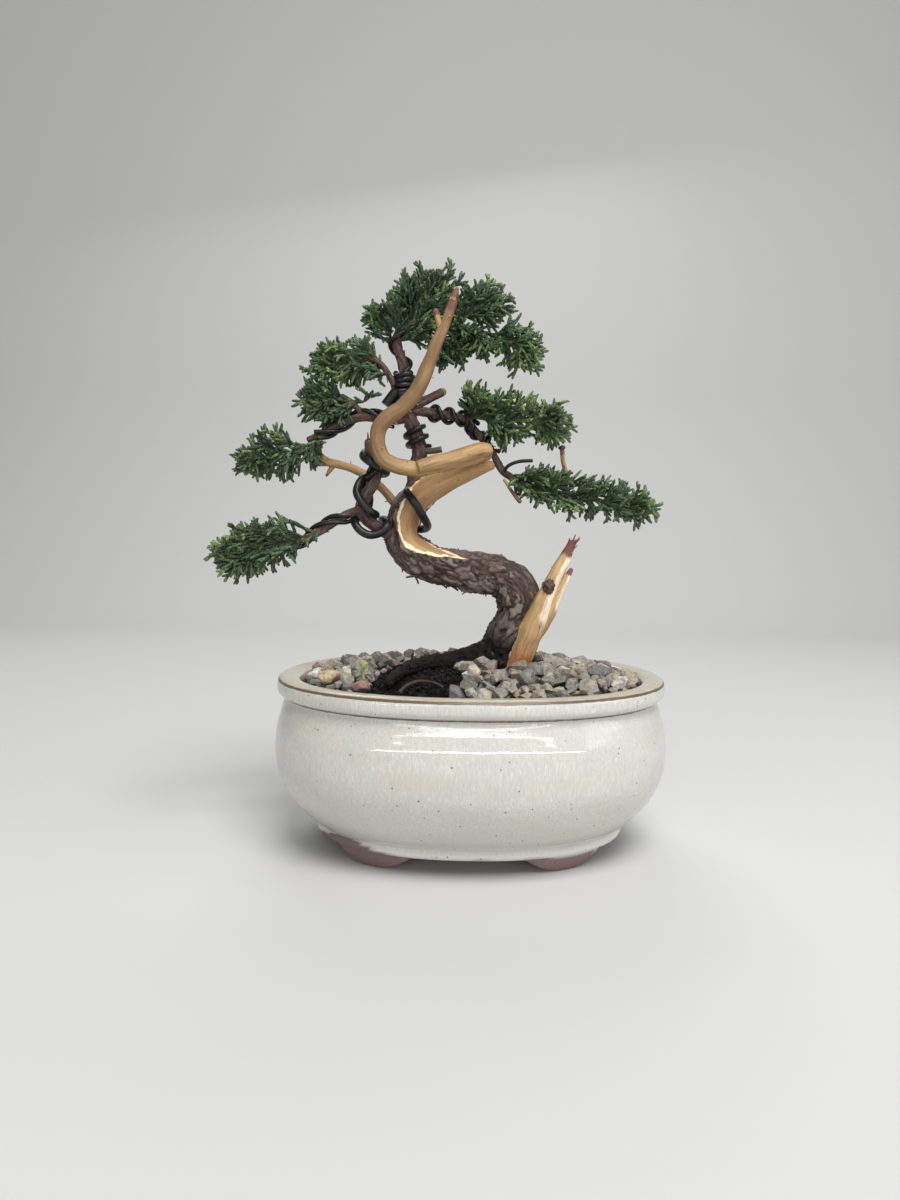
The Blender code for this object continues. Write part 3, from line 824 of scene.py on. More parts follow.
@dataclass(frozen=True)
class WoodFinish:
    """Bare juniper wood with long grain, cream torn edges, orange resin and dark red ends."""

    light: Colour = (0.50, 0.31, 0.145)
    tan: Colour = (0.335, 0.195, 0.085)
    streak: Colour = (0.20, 0.105, 0.045)
    cream: Colour = (0.86, 0.75, 0.55)
    resin: Colour = (0.34, 0.120, 0.035)
    end: Colour = (0.175, 0.070, 0.050)
    speck: Colour = (0.16, 0.075, 0.040)

    def colours(self, graph: ShaderGraph) -> Socket:
        """Mix the wood's colours on a graph and return the result.

        Args:
            graph: the material's graph.

        Returns:
            The colour.
        """
        grain = graph.grain_noise((0.9, 0.9, 16.0), 5.0, 0.6)
        broad = graph.grain_noise((4.0, 4.0, 24.0), 3.0)
        fine = graph.grain_noise((0.35, 0.35, 7.0), 4.0, 0.6)
        tone = graph.veil(self.tan, self.light, broad, (0.36, 0.0), (0.64, 1.0))
        tone = graph.veil(tone, self.streak, grain, (0.52, 0.0), (0.74, 0.65))
        tone = graph.veil(tone, self.streak, fine, (0.30, 0.45), (0.50, 0.0))
        spots = graph.ramp(graph.cells((1.9, 1.9, 2.6), grain=True), (0.10, 1.0), (0.22, 0.0))
        rare = graph.ramp(graph.grain_noise((5.0, 5.0, 7.0), 2.0), (0.46, 0.0), (0.56, 0.8))
        tone = graph.mix(graph.times(spots, rare), tone, self.speck)
        # darker where the wood is damp, and painted shade where a limb's far part is dulled
        tone = graph.mix(graph.attribute("wet"), tone, self.streak)
        ragged = graph.line(graph.grain_noise((0.8, 0.8, 5.0), 4.0), 0.9, -0.45)
        uneven = graph.times(ragged, 1.8)
        resin = graph.ramp(graph.plus(graph.attribute("resin"), uneven), (0.35, 0.0), (0.8, 1.0))
        tone = graph.mix(resin, tone, self.resin)
        torn = graph.ramp(graph.plus(graph.attribute("torn"), ragged), (0.40, 0.0), (0.66, 1.0))
        tone = graph.mix(torn, tone, self.cream)
        end = graph.ramp(graph.plus(graph.attribute("end"), ragged), (0.40, 0.0), (0.70, 1.0))
        return graph.mix(end, tone, self.end)

    def relief(self, graph: ShaderGraph) -> tuple[tuple[Socket, float], ...]:
        """The grain's bumps on a graph."""
        return ((graph.grain_noise((1.0, 1.0, 14.0), 5.0, 0.65), 0.22),
                (graph.grain_noise((0.3, 0.3, 2.6), 4.0, 0.7), 0.07))

    def build(self, name: str) -> Material:
        """The bare wood material under a name.

        Args:
            name: the material's name.

        Returns:
            The material.
        """
        graph = ShaderGraph(name)
        graph.set(base_color=self.colours(graph), roughness=0.56)
        graph.bump(*self.relief(graph))
        return graph.material

    def build_stripped(self, bark: BarkFinish) -> Material:
        """Bark with bare wood where the attribute bare is 1, for the trunk.

        Args:
            bark: the bark beside the strip.

        Returns:
            The material.
        """
        graph = ShaderGraph("bark_and_bare_wood")
        ragged = graph.line(graph.grain_noise((0.7, 0.7, 3.0), 4.0, 0.7), 0.5, -0.25)
        bare = graph.ramp(graph.plus(graph.attribute("bare"), ragged), (0.44, 0.0), (0.54, 1.0))
        graph.set(base_color=graph.mix(bare, bark.colours(graph), self.colours(graph)))
        graph.set(roughness=graph.line(bare, -0.32, 0.88), specular_ior_level=0.3)
        rough = graph.maths("SUBTRACT", 1.0, bare)
        bumps = (graph.times(graph.grain_noise((2.2, 2.2, 5.0), 5.0, 0.7), rough), bark.relief)
        fine = (graph.times(graph.grain_noise((0.6, 0.6, 1.4), 4.0, 0.7), rough), 0.3 * bark.relief)
        graph.bump(bumps, fine, *self.relief(graph))
        return graph.material


@dataclass(frozen=True)
class WireFinish:
    """Black annealed training wire, scuffed to a dull olive brown in places."""

    black: Colour = (0.012, 0.012, 0.013)
    scuffed: Colour = (0.070, 0.058, 0.036)
    wear: float = 0.35

    def build(self, name: str) -> Material:
        """The wire material under a name.

        Args:
            name: the material's name.

        Returns:
            The material.
        """
        graph = ShaderGraph(name)
        worn = graph.ramp(graph.noise(3.2, 4.0), (0.52, 0.0), (0.66, self.wear))
        graph.set(base_color=graph.mix(worn, self.black, self.scuffed), metallic=0.35)
        graph.set(roughness=graph.line(graph.noise(1.4, 3.0), 0.22, 0.24))
        graph.bump((graph.noise(0.7, 3.0), 0.05))
        return graph.material


@dataclass(frozen=True)
class FoliageFinish:
    """Blue-dark green scale foliage with fresher tips, painted shade inside the pads and brown inner stems.
    """

    # deep: the painted shade inside the pads
    deep: Colour = (0.010, 0.023, 0.012)
    green: Colour = (0.104, 0.192, 0.074)
    fresh: Colour = (0.345, 0.470, 0.135)
    woody: Colour = (0.105, 0.075, 0.042)

    def build(self) -> Material:
        """The foliage material, read with the attributes tone and age."""
        graph = ShaderGraph("juniper_scales")
        tone = graph.attribute("tone")
        # tone: from painted shade deep in a pad up to the fresh tips
        colour = graph.ramp(tone, (0.0, self.deep), (0.55, self.green), (1.0, self.fresh))
        patches = graph.ramp(graph.noise(1.1, 4.0, 0.65), (0.34, 0.0), (0.70, 1.0))
        colour = graph.mix(graph.times(patches, 0.25), colour, self.green)
        shadow = graph.ramp(graph.cells(0.75), (0.15, 0.0), (0.55, 0.6))
        colour = graph.mix(shadow, colour, self.deep)
        colour = graph.mix(graph.attribute("age"), colour, self.woody)
        graph.set(base_color=colour, roughness=0.46)
        graph.bump((graph.cells(0.75), 0.22), (graph.noise(0.4, 3.0), 0.05))
        return graph.material


class Tint(Enum):
    """Which mixture of colours a stone is made in."""

    MIXED = "mixed"
    WARM = "warm"


@dataclass(frozen=True)
class StoneFinish:
    """Crushed river gravel in greys, tans, whites and a little wine red."""

    tint: Tint = Tint.MIXED

    def stops(self) -> tuple[tuple[float, Colour], ...]:
        """The colours along the tone attribute."""
        if self.tint is Tint.WARM:
            return ((0.0, (0.50, 0.37, 0.21)), (0.35, (0.62, 0.52, 0.38)), (0.7, (0.66, 0.63, 0.57)),
                    (1.0, (0.30, 0.17, 0.15)))
        return ((0.0, (0.130, 0.127, 0.120)), (0.16, (0.19, 0.183, 0.168)), (0.34, (0.255, 0.235, 0.200)),
                (0.52, (0.315, 0.290, 0.245)), (0.70, (0.38, 0.315, 0.215)), (0.82, (0.46, 0.43, 0.37)),
                (0.91, (0.23, 0.150, 0.125)), (1.0, (0.60, 0.58, 0.53)))

    def build(self) -> Material:
        """The stone material, read with the attribute tone."""
        graph = ShaderGraph(f"gravel_{self.tint.value}")
        colour = graph.ramp(graph.attribute("tone"), *self.stops())
        mottle = graph.ramp(graph.noise(1.5, 5.0, 0.7), (0.32, 0.42), (0.68, 1.42))
        colour = graph.mix(1.0, colour, mottle, "MULTIPLY")
        veins = graph.ramp(graph.noise((0.9, 3.4, 1.6), 4.0, 0.6, 1.5), (0.60, 0.0), (0.74, 0.55))
        colour = graph.mix(veins, colour, (0.58, 0.55, 0.50))
        grains = graph.ramp(graph.cells(0.42), (0.10, 0.7), (0.24, 0.0))
        colour = graph.mix(grains, colour, (0.07, 0.065, 0.06))
        graph.set(base_color=colour, roughness=graph.line(graph.noise(2.0), 0.3, 0.5))
        graph.bump((graph.noise(0.9, 5.0, 0.7), 0.22), (graph.noise(0.25, 4.0, 0.7), 0.06))
        return graph.material


@dataclass(frozen=True)
class SoilFinish:
    """Wet black potting soil."""

    black: Colour = (0.0025, 0.0022, 0.0025)
    brown: Colour = (0.013, 0.010, 0.008)

    def build(self) -> Material:
        """The soil material."""
        graph = ShaderGraph("black_soil")
        mixed = graph.ramp(graph.noise(1.3, 5.0, 0.7), (0.48, 0.0), (0.72, 1.0))
        graph.set(base_color=graph.mix(mixed, self.black, self.brown), specular_ior_level=0.22)
        graph.set(roughness=graph.line(graph.noise(1.0, 3.0), 0.5, 0.40))
        graph.bump((graph.noise(1.0, 5.0, 0.75), 0.7), (graph.noise(0.3, 4.0, 0.7), 0.2))
        return graph.material


@dataclass(frozen=True)
class ShootFinish:
    """A fresh yellow-green shoot."""

    pale: Colour = (0.50, 0.47, 0.20)
    green: Colour = (0.26, 0.33, 0.09)

    def build(self) -> Material:
        """The shoot material."""
        graph = ShaderGraph("young_shoot")
        graph.set(base_color=graph.veil(self.green, self.pale, graph.noise(2.0), (0.4, 0.0), (0.6, 1.0)))
        graph.set(roughness=0.5, subsurface_weight=0.15)
        graph.shader.inputs["Subsurface Scale"].default_value = 0.5 * MM
        return graph.material


@dataclass(frozen=True)
class FittingFinish:
    """Plain plastic or steel for the parts under the soil."""

    colour: Colour
    metallic: float
    roughness: float

    def build(self, name: str) -> Material:
        """The fitting's material under a name.

        Args:
            name: the material's name.

        Returns:
            The material.
        """
        graph = ShaderGraph(name)
        tone = graph.mix(graph.ramp(graph.noise(1.5), (0.35, 0.0), (0.7, 0.5)), self.colour,
                         tuple(2.2 * c for c in self.colour))
        graph.set(base_color=tone, metallic=self.metallic, roughness=self.roughness)
        graph.bump((graph.noise(0.8), 0.04))
        return graph.material


# --- soil and gravel

@dataclass
class Ground:
    """Shape of the soil's top: a low crown, with a mound where no gravel lies."""

    inset: float = 14.0
    power: float = 2.2
    edge_height: float = 60.5
    crown: float = 5.5
    bare_centre: Pair = (-20.0, -20.0)
    bare_axes: Pair = (17.0, 34.0)
    mound: float = 0.4
    half_length: float = 65.6

    def share(self, x: float, y: float) -> float:
        """How far out a point is, from 0 at the middle to 1 at the soil's edge."""
        a, b = self.half_length, self.half_length - self.inset
        return (abs(x / a) ** self.power + abs(y / b) ** self.power) ** (1.0 / self.power)

    def bareness(self, x: float, y: float) -> float:
        """How deep a point lies in the bare patch: 1 at its middle, below 0 outside."""
        return 1.0 - math.hypot((x - self.bare_centre[0]) / self.bare_axes[0],
                                (y - self.bare_centre[1]) / self.bare_axes[1])

    def height(self, x: float, y: float) -> float:
        """Height of the soil at a point.

        Args:
            x: place along the pot.
            y: place across it.

        Returns:
            The height in millimetres.
        """
        share = min(1.0, self.share(x, y))
        mound = self.mound * min(1.0, 3.0 * max(0.0, self.bareness(x, y)))
        return self.edge_height + self.crown * (1.0 - share ** 2) + mound * (1.0 - share ** 6)


@dataclass
class Soil:
    """The root ball with a rough top, and loose crumbs on the bare patch."""

    ground: Ground
    segments: int = 200
    rings: int = 64
    outline: tuple[Pair, ...] = (
        (50, 14.4), (56.5, 14.8), (60.2, 17), (66, 24.4), (69.4, 33), (69.9, 42), (68, 52),
        (65.6, 59.4))
    roughness: float = 0.55
    crumbs: int = 1500

    def ball(self) -> Object:
        """The root ball's skin, with clods on its top."""
        pot = Pot()
        angles = pot.even_angles(self.segments)
        rows = [[(*pot.oval(u, angle), z) for angle in angles] for u, z in self.outline]
        for ring in range(self.rings):
            share = 1.0 - ring / self.rings
            row = []
            for angle in angles:
                x, y = (share * v for v in pot.oval(self.outline[-1][0], angle))
                clods = noise_at(x / 2.4, y / 2.4, 0.0) + 0.7 * noise_at(x / 0.9, y / 0.9, 4.0)
                rough = self.roughness * clods
                row.append((x, y, self.ground.height(x, y) + rough * smoothstep(1.0, 0.93, share)
                            - 0.3 * (1.0 - smoothstep(1.0, 0.93, share))))
            rows.append(row)
        return Maker.grid("soil_ball", rows)

    def loose(self, material: Material) -> Object:
        """Crumbs of soil on and around the bare patch.

        Args:
            material: their material.

        Returns:
            One object with all of them.
        """
        rng = random.Random(31)
        points, sizes, turns = [], [], []
        while len(points) < self.crumbs:
            x = self.ground.bare_centre[0] + rng.uniform(-1.15, 1.15) * self.ground.bare_axes[0]
            y = self.ground.bare_centre[1] + rng.uniform(-1.1, 1.1) * self.ground.bare_axes[1]
            if self.ground.bareness(x, y) < -0.12 or self.ground.share(x, y) > 0.97:
                continue
            size = rng.choice((0.7, 0.9, 1.1, 1.5, 2.2))
            points.append((x, y, self.ground.height(x, y) + 0.1 * size + 0.2))
            sizes.append(size)
            turns.append([rng.uniform(0.0, math.tau) for _ in range(3)])
        guide = scatter_guide("crumb_guide", points, size=sizes, turn=turns)
        tree = GeometryTree("soil_crumbs", material)
        shapes = [hull_shape(tree, 5.0, 61 + k) for k in range(5)]
        place_shapes(tree, shapes, 5)
        return tree.grow("soil_crumbs", guide, Scale=MM)

    def build(self) -> None:
        """Make and dress the soil."""
        material = SoilFinish().build()
        Maker.dress(self.ball(), material, "wet_soil", "soil")
        Maker.dress(self.loose(material), None, "wet_soil")


def scatter_guide(name: str, points: Sequence[Sequence[float]], **values: Sequence) -> Object:
    """A mesh of loose points, with numbers or vectors stored at each.

    Args:
        name: the guide's name.
        points: places in millimetres.
        values: lists by attribute name.

    Returns:
        The guide object.
    """
    mesh = bpy.data.meshes.new(name)
    mesh.from_pydata([Maker.place(point) for point in points], [], [])
    guide = Maker.add(name, mesh)
    Maker.carry(guide, **values)
    return guide


def hull_shape(tree: GeometryTree, density: float, seed: int) -> Socket:
    """An angular lump one unit wide: the convex hull of a few points on a ball.

    Args:
        tree: the tree under construction.
        density: how many points the ball gets.
        seed: where they lie.

    Returns:
        The shape.
    """
    ball = tree.add("GeometryNodeMeshIcoSphere", radius=0.5, subdivisions=3)
    dots = tree.add("GeometryNodeDistributePointsOnFaces", mesh=ball, density=density, seed=seed)
    return tree.add("GeometryNodeConvexHull", geometry=dots.outputs["Points"]).outputs[0]


def place_shapes(tree: GeometryTree, shapes: Sequence[Socket], seed: int,
                 squash: Point = (1.0, 0.82, 0.66)) -> None:
    """Close a tree that sets one of the shapes on each guide point, with its size and turn.

    Args:
        tree: the tree under construction.
        shapes: the shapes to choose from.
        seed: the seed of the choice.
        squash: the shapes' proportions.
    """
    scale = tree.size("Scale")
    wide = tree.times(tree.stored("size"), scale)
    sizes = tree.add("ShaderNodeVectorMath", {"operation": "SCALE"}, vector=squash, scale=wide)
    turn = tree.add("FunctionNodeEulerToRotation", euler=tree.stored("turn", "FLOAT_VECTOR"))
    placed = tree.add("GeometryNodeInstanceOnPoints", points=tree.guide, instance=tree.group(shapes),
                      pick_instance=True, instance_index=tree.chance(0, len(shapes) - 1, seed, "INT"),
                      rotation=turn, scale=sizes)
    tree.finish(placed)


@dataclass
class Stone:
    """One of the larger stones, with chipped faces and worn edges."""

    name: str
    centre: Point
    half_sizes: Point
    turn: float
    tone: float
    tint: Tint
    planes: int = 15
    detail: int = 4
    sharpness: float = 12.0        # how crisp the edges between its planes are

    def build(self, number: int, material: Material) -> None:
        """Make the stone: a ball cut back by random planes, with worn edges.

        Args:
            number: picks its random shape.
            material: its material.
        """
        rng = random.Random(400 + number)
        normals = [Vector([rng.gauss(0.0, 1.0) for _ in range(3)]).normalized() for _ in range(self.planes)]
        depths = [rng.uniform(0.72, 0.95) for _ in normals]
        bm = bmesh.new()
        bmesh.ops.create_icosphere(bm, subdivisions=self.detail, radius=1.0)
        for vert in bm.verts:
            way = vert.co.normalized()
            reach = sum(math.exp(-self.sharpness * depth / way.dot(normal))
                        for normal, depth in zip(normals, depths) if way.dot(normal) > 0.15)
            reach = min(1.02, -math.log(max(reach, 1e-6)) / self.sharpness)
            vert.co = way * (reach + 0.012 * noise.noise(way * 6.0))
        bmesh.ops.scale(bm, vec=Vector(self.half_sizes) * MM, verts=bm.verts)
        turn = Matrix.Rotation(math.radians(self.turn), 4, "Z") @ Matrix.Rotation(0.25, 4, "X")
        bmesh.ops.transform(bm, matrix=Matrix.Translation(Maker.place(self.centre)) @ turn, verts=bm.verts)
        stone = Maker.close(f"{self.name}_chipped", bm)
        Maker.carry(stone, tone=[self.tone] * len(stone.data.vertices))
        slot = "warm_stone" if self.tint is Tint.WARM else "grey_stone"
        Maker.dress(stone, material, slot, self.name)


@dataclass
class Gravel:
    """Angular stones heaped over the soil, and eight larger ones on top."""

    ground: Ground
    stones: int = 1050
    smallest: float = 3.7
    largest: float = 9.8
    heap: float = 5.6              # how far above the soil a stone's middle may lie
    rim_gap: float = 0.7
    tries: int = 10                # places tried for each stone
    packing: float = 0.80          # how close two stones lie, as a share of their widths
    larger: tuple[Stone, ...] = (
        Stone("stone_beige", (-52.0, -24.5, 67.2), (4.6, 3.4, 3.0), 20.0, 0.10, Tint.WARM),
        Stone("stone_white", (-58.6, -15.4, 66.6), (3.2, 2.8, 2.4), 60.0, 0.72, Tint.WARM),
        Stone("stone_speckled", (-45.6, -27.8, 68.4), (2.6, 2.4, 3.6), 0.0, 0.50, Tint.WARM),
        Stone("stone_grey_left", (-42.6, -14.0, 69.4), (4.2, 3.4, 2.8), 40.0, 0.36, Tint.MIXED),
        Stone("stone_wine", (-38.6, -38.2, 66.6), (3.6, 3.0, 2.4), 10.0, 1.0, Tint.WARM),
        Stone("stone_cream", (1.4, -30.0, 70.4), (2.8, 2.6, 3.4), 0.0, 0.45, Tint.WARM),
        Stone("stone_grey_front", (20.0, -34.0, 69.2), (4.2, 3.6, 3.8), 70.0, 0.22, Tint.MIXED),
        Stone("stone_slate", (50.0, -8.0, 68.2), (5.4, 4.0, 2.8), 15.0, 0.05, Tint.MIXED))
    keep_out: tuple[Point, ...] = ((14.0, 6.0, 10.5), (17.5, 0.5, 5.5), (4.0, 12.0, 4.0),
                                                        (-6.0, 13.5, 3.4))

    def allowed(self, x: float, y: float, radius: float) -> bool:
        """Whether a stone may lie at a point.

        Args:
            x: place along the pot.
            y: place across it.
            radius: half the stone's width.

        Returns:
            True where it lies clear of the rim, the bare patch and the wood.
        """
        a = self.ground.half_length + 1.1 - radius - self.rim_gap
        b = a - self.ground.inset
        if abs(x / a) ** self.ground.power + abs(y / b) ** self.ground.power > 1.0:
            return False
        ragged = 0.14 * noise_at(x / 7.0, y / 7.0, 2.0)
        if self.ground.bareness(x, y) > ragged - 0.04 - 0.02 * radius:
            return False
        return all(math.hypot(x - px, y - py) > reach + 0.6 * radius for px, py, reach in self.keep_out)

    def heaped(self) -> tuple[list[Point], list[float]]:
        """Drop the stones one by one, each into the lowest of several places.

        Returns:
            Their places and widths in millimetres.
        """
        rng = random.Random(17)
        places = np.zeros((0, 3))
        radii = np.zeros(0)
        for stone in self.larger:
            places = np.vstack([places, stone.centre])
            radii = np.append(radii, 0.8 * max(stone.half_sizes))
        reserved = len(radii)
        for _ in range(self.stones):
            radius = 0.5 * (self.smallest + (self.largest - self.smallest) * rng.random() ** 1.5)
            best = None
            for _ in range(self.tries):
                x, y = rng.uniform(-66.0, 66.0), rng.uniform(-52.0, 52.0)
                if not self.allowed(x, y, radius):
                    continue
                z = self.ground.height(x, y) + 0.50 * radius
                apart = np.hypot(places[:, 0] - x, places[:, 1] - y)
                touch = self.packing * (radii + radius)
                near = apart < touch
                if near.any():
                    rise = 0.70 * np.sqrt(touch[near] ** 2 - apart[near] ** 2)
                    z = max(z, float((places[near, 2] + rise).max()))
                if best is None or z < best[2]:
                    best = (x, y, z)
            if best is None or best[2] > self.ground.height(best[0], best[1]) + self.heap:
                continue
            places = np.vstack([places, best])
            radii = np.append(radii, radius)
        loose = [tuple(p) for p in places[reserved:].tolist()]
        return loose, (2.0 * radii[reserved:]).tolist()

    def build(self) -> None:
        """Make and dress the gravel."""
        finishes = {tint: StoneFinish(tint).build() for tint in Tint}
        points, sizes = self.heaped()
        rng = random.Random(23)
        turns = [(rng.uniform(-0.5, 0.5), rng.uniform(-0.5, 0.5), rng.uniform(0.0, math.tau)) for _ in points]
        tones = [rng.random() for _ in points]
        guide = scatter_guide("gravel_guide", points, size=sizes, turn=turns, tone=tones)
        tree = GeometryTree("gravel_stones", finishes[Tint.MIXED])
        shapes = [hull_shape(tree, 5.4, 11 + k) for k in range(14)]
        place_shapes(tree, shapes, 3, (1.12, 0.92, 0.78))
        gravel = tree.grow("gravel_loose", guide, Scale=MM)
        gravel.data.set_sharp_from_angle(angle=math.radians(24.0))
        Maker.dress(gravel, None, "grey_stone", "gravel_bed")
        for number, stone in enumerate(self.larger):
            stone.build(number, finishes[stone.tint])


# --- pot

@dataclass(frozen=True)
class GlazeFinish:
    """Cream glaze, pale streaks, iron specks, brown breaks on edges, painted shadow under the lip; bare clay
    below.
    """

    cream: Colour = (0.625, 0.60, 0.53)
    streak: Colour = (0.495, 0.525, 0.52)
    pale: Colour = (0.81, 0.795, 0.73)
    shade: Colour = (0.40, 0.38, 0.33)
    warm: Colour = (0.60, 0.53, 0.43)
    rim: Colour = (0.43, 0.375, 0.275)
    break_and_shadow_brown: Colour = (0.135, 0.095, 0.065)
    speck: Colour = (0.16, 0.085, 0.045)
    clay: Colour = (0.185, 0.126, 0.115)
    gloss: float = 0.045

    def build(self) -> Material:
        """The pot's material, read with the attributes clay, edge, lip and band."""
        graph = ShaderGraph("cream_glaze")
        drift = graph.noise(22.0, 3.0)
        streaks = graph.noise((0.75, 0.75, 7.0), 5.0, 0.6)
        fine = graph.noise((0.35, 0.35, 2.4), 4.0, 0.6)
        body = graph.veil(self.cream, self.streak, streaks, (0.42, 0.0), (0.66, 0.65))
        body = graph.veil(body, self.pale, fine, (0.50, 0.0), (0.68, 0.75))
        body = graph.veil(body, self.streak, drift, (0.35, 0.0), (0.75, 0.45))
        pits = graph.ramp(graph.noise((0.55, 0.55, 1.5), 4.0, 0.7), (0.26, 0.55), (0.42, 0.0))
        body = graph.mix(pits, body, self.shade)
        cloud = graph.ramp(graph.noise((26.0, 26.0, 9.0), 4.0, 0.6), (0.50, 0.0), (0.68, 0.5))
        body = graph.mix(cloud, body, self.warm)
        body = graph.mix(graph.attribute("band"), body, self.pale)
        lip = graph.times(graph.attribute("lip"), graph.ramp(graph.noise(5.0), (0.2, 0.6), (0.7, 1.0)))
        body = graph.mix(lip, body, self.rim)
        # edge: brown where the glaze breaks on the lip, and a painted shadow line under the lip
        wander = graph.line(graph.noise(2.6, 5.0, 0.65), 0.9, -0.45)
        edge = graph.ramp(graph.plus(graph.attribute("edge"), wander), (0.52, 0.0), (0.82, 1.0))
        body = graph.mix(edge, body, self.break_and_shadow_brown)
        dot = graph.ramp(graph.cells(2.3), (0.10, 1.0), (0.17, 0.0))
        rare = graph.ramp(graph.noise(3.4, 2.0), (0.56, 0.0), (0.60, 1.0))
        body = graph.mix(graph.times(dot, rare), body, self.speck)
        freckle = graph.ramp(graph.cells(0.8), (0.08, 0.7), (0.20, 0.0))
        often = graph.ramp(graph.noise(7.0, 3.0), (0.48, 0.0), (0.66, 1.0))
        body = graph.mix(graph.times(freckle, often), body, self.rim)
        grain = graph.noise(0.6, 5.0, 0.7)
        clay_tone = graph.mix(graph.ramp(grain, (0.35, 0.0), (0.7, 1.0)), self.clay,
                              tuple(1.45 * c for c in self.clay))
        clay = graph.attribute("clay")
        graph.set(base_color=graph.mix(clay, body, clay_tone))
        dull = graph.line(graph.noise(9.0, 3.0), 0.06, self.gloss - 0.03)
        dull = graph.line(edge, 0.25, dull)
        graph.set(roughness=graph.maths("MULTIPLY_ADD", clay, 0.72, dull, clamp=True))
        ripple = graph.maths("SUBTRACT", 1.0, clay)
        graph.bump((graph.times(graph.noise(6.0, 2.0), ripple), 0.02),
                   (graph.times(streaks, ripple), 0.008),
                   (graph.times(graph.noise(0.35, 5.0, 0.7), clay), 0.10))
        return graph.material


@dataclass
class Pot:
    """The oval pot: a lofted body with lip, base band, four feet and two drainage holes."""

    inset: float = 14.0            # half-length less half-width
    power: float = 2.2             # exponent of the oval
    segments: int = 176
    outline: tuple[Pair, ...] = (
        (48, 5.6), (56.3, 5.6), (58.6, 5.7), (59.9, 6.5), (60.2, 7.7), (59.7, 8.9), (59.9, 9.6),
        (61.8, 11), (66, 14.9), (70.2, 19.8), (73.3, 25.2), (75.4, 31.2), (76.1, 39), (75.6, 46),
        (73.8, 53), (72.6, 57.2), (72.5, 58.1), (73, 58.9), (74.1, 59.4), (75, 60.6), (75.2, 62.6),
        (74.9, 64.3), (74.2, 65.3), (72.8, 65.85), (70.4, 65.9), (68.2, 65.6), (66.9, 64.9), (66.4, 63.6),
        (66.2, 61), (69, 52), (71, 42), (70.5, 33), (67, 24), (61, 16.5), (54, 12.3),
        (48, 11.5))
    hole_radius: float = 6.5
    hole_x: float = 27.0
    foot_angles: Pair = (33.5, 74.0)
    foot_outer: float = 59.4
    foot_depth: float = 10.5
    foot_top: float = 8.0
    foot_steps: int = 26
    edge_line: Pair = (74.7, 65.0)     # where the glaze breaks on the lip
    neck_shadow_line: Pair = (72.7, 58.5)     # the painted shadow line under the lip

    def oval(self, half_length: float, angle: float) -> Pair:
        """A point of the oval with a half-length, at an angle in radians.

        Args:
            half_length: half the length of the oval.
            angle: the angle in radians.

        Returns:
            X and Y in millimetres.
        """
        cosine, sine = math.cos(angle), math.sin(angle)
        x = half_length * math.copysign(abs(cosine) ** (2.0 / self.power), cosine)
        y = (half_length - self.inset) * math.copysign(abs(sine) ** (2.0 / self.power), sine)
        return x, y

    def even_angles(self, count: int) -> list[float]:
        """Angles that give evenly spaced points round the oval.

        Args:
            count: how many.

        Returns:
            The angles in radians.
        """
        fine = 7200
        points = [self.oval(70.0, math.tau * i / fine) for i in range(fine + 1)]
        runs = np.cumsum([0.0] + [math.dist(a, b) for a, b in zip(points, points[1:])])
        wanted = np.arange(count) * runs[-1] / count
        return [float(a) for a in np.interp(wanted, runs, np.arange(fine + 1) * math.tau / fine)]

    def body(self) -> Object:
        """The lofted body with slight hand-made unevenness."""
        guide = [(u, 0.0, z) for u, z in self.outline]
        path = [*smooth_path(guide[:15], 1.3)[:-1], *smooth_path(guide[14:29], 0.35)[:-1],
                *smooth_path(guide[28:], 1.8)]
        angles = self.even_angles(self.segments)
        rows = []
        for u, _, z in path:
            row = []
            for angle in angles:
                x, y = self.oval(u, angle)
                swell = 1.0 + 0.0022 * noise_at(x / 40.0, y / 40.0, z / 30.0)
                row.append((x * swell, y * swell, z))
            rows.append(row)
        return Maker.grid("pot_body", rows)

    def foot(self, mirror_x: int, mirror_y: int) -> Object:
        """One rounded clay foot that follows the oval.

        Args:
            mirror_x: 1 at the right, -1 at the left.
            mirror_y: 1 at the back, -1 at the front.

        Returns:
            The foot.
        """
        steps, rows = self.foot_steps, []
        first, last = (math.radians(angle) for angle in self.foot_angles)
        for i in range(steps + 1):
            along = 2.0 * i / steps - 1.0
            angle = first + (last - first) * i / steps
            low = 7.4 * max(0.0, (abs(along) - 0.14) / 0.86) ** 2.1
            lean = 1.4 * (1.0 - low / 7.4)
            section = ((0.0, self.foot_top), (0.0, 0.62 * self.foot_top + 0.38 * low), (0.035, low + 0.9),
                       (0.10, low + 0.22), (0.22, low), (0.55, low), (0.85, low + 0.2), (1.0, low + 1.2),
                       (1.0, self.foot_top))
            row = []
            for share, z in section:
                height = min(z, self.foot_top)
                drop = lean * (1.0 - height / self.foot_top)
                x, y = self.oval(self.foot_outer - drop - share * self.foot_depth, angle)
                row.append((mirror_x * x, mirror_y * y, height))
            rows.append(row if mirror_x * mirror_y > 0 else list(reversed(row)))
        foot = Maker.grid("foot", rows)
        bm = bmesh.new()
        bm.from_mesh(foot.data)
        bmesh.ops.recalc_face_normals(bm, faces=bm.faces)
        bm.to_mesh(foot.data)
        bm.free()
        return foot

    def drill(self, x: float) -> Object:
        """The cutter of one drainage hole.

        Args:
            x: place of the hole along the pot.

        Returns:
            The cutter.
        """
        bm = bmesh.new()
        bmesh.ops.create_cone(bm, cap_ends=True, segments=48, radius1=self.hole_radius * MM,
                              radius2=self.hole_radius * MM, depth=20.0 * MM,
                              matrix=Matrix.Translation(Maker.place((x, 0.0, 8.0))))
        return Maker.close("drill", bm)

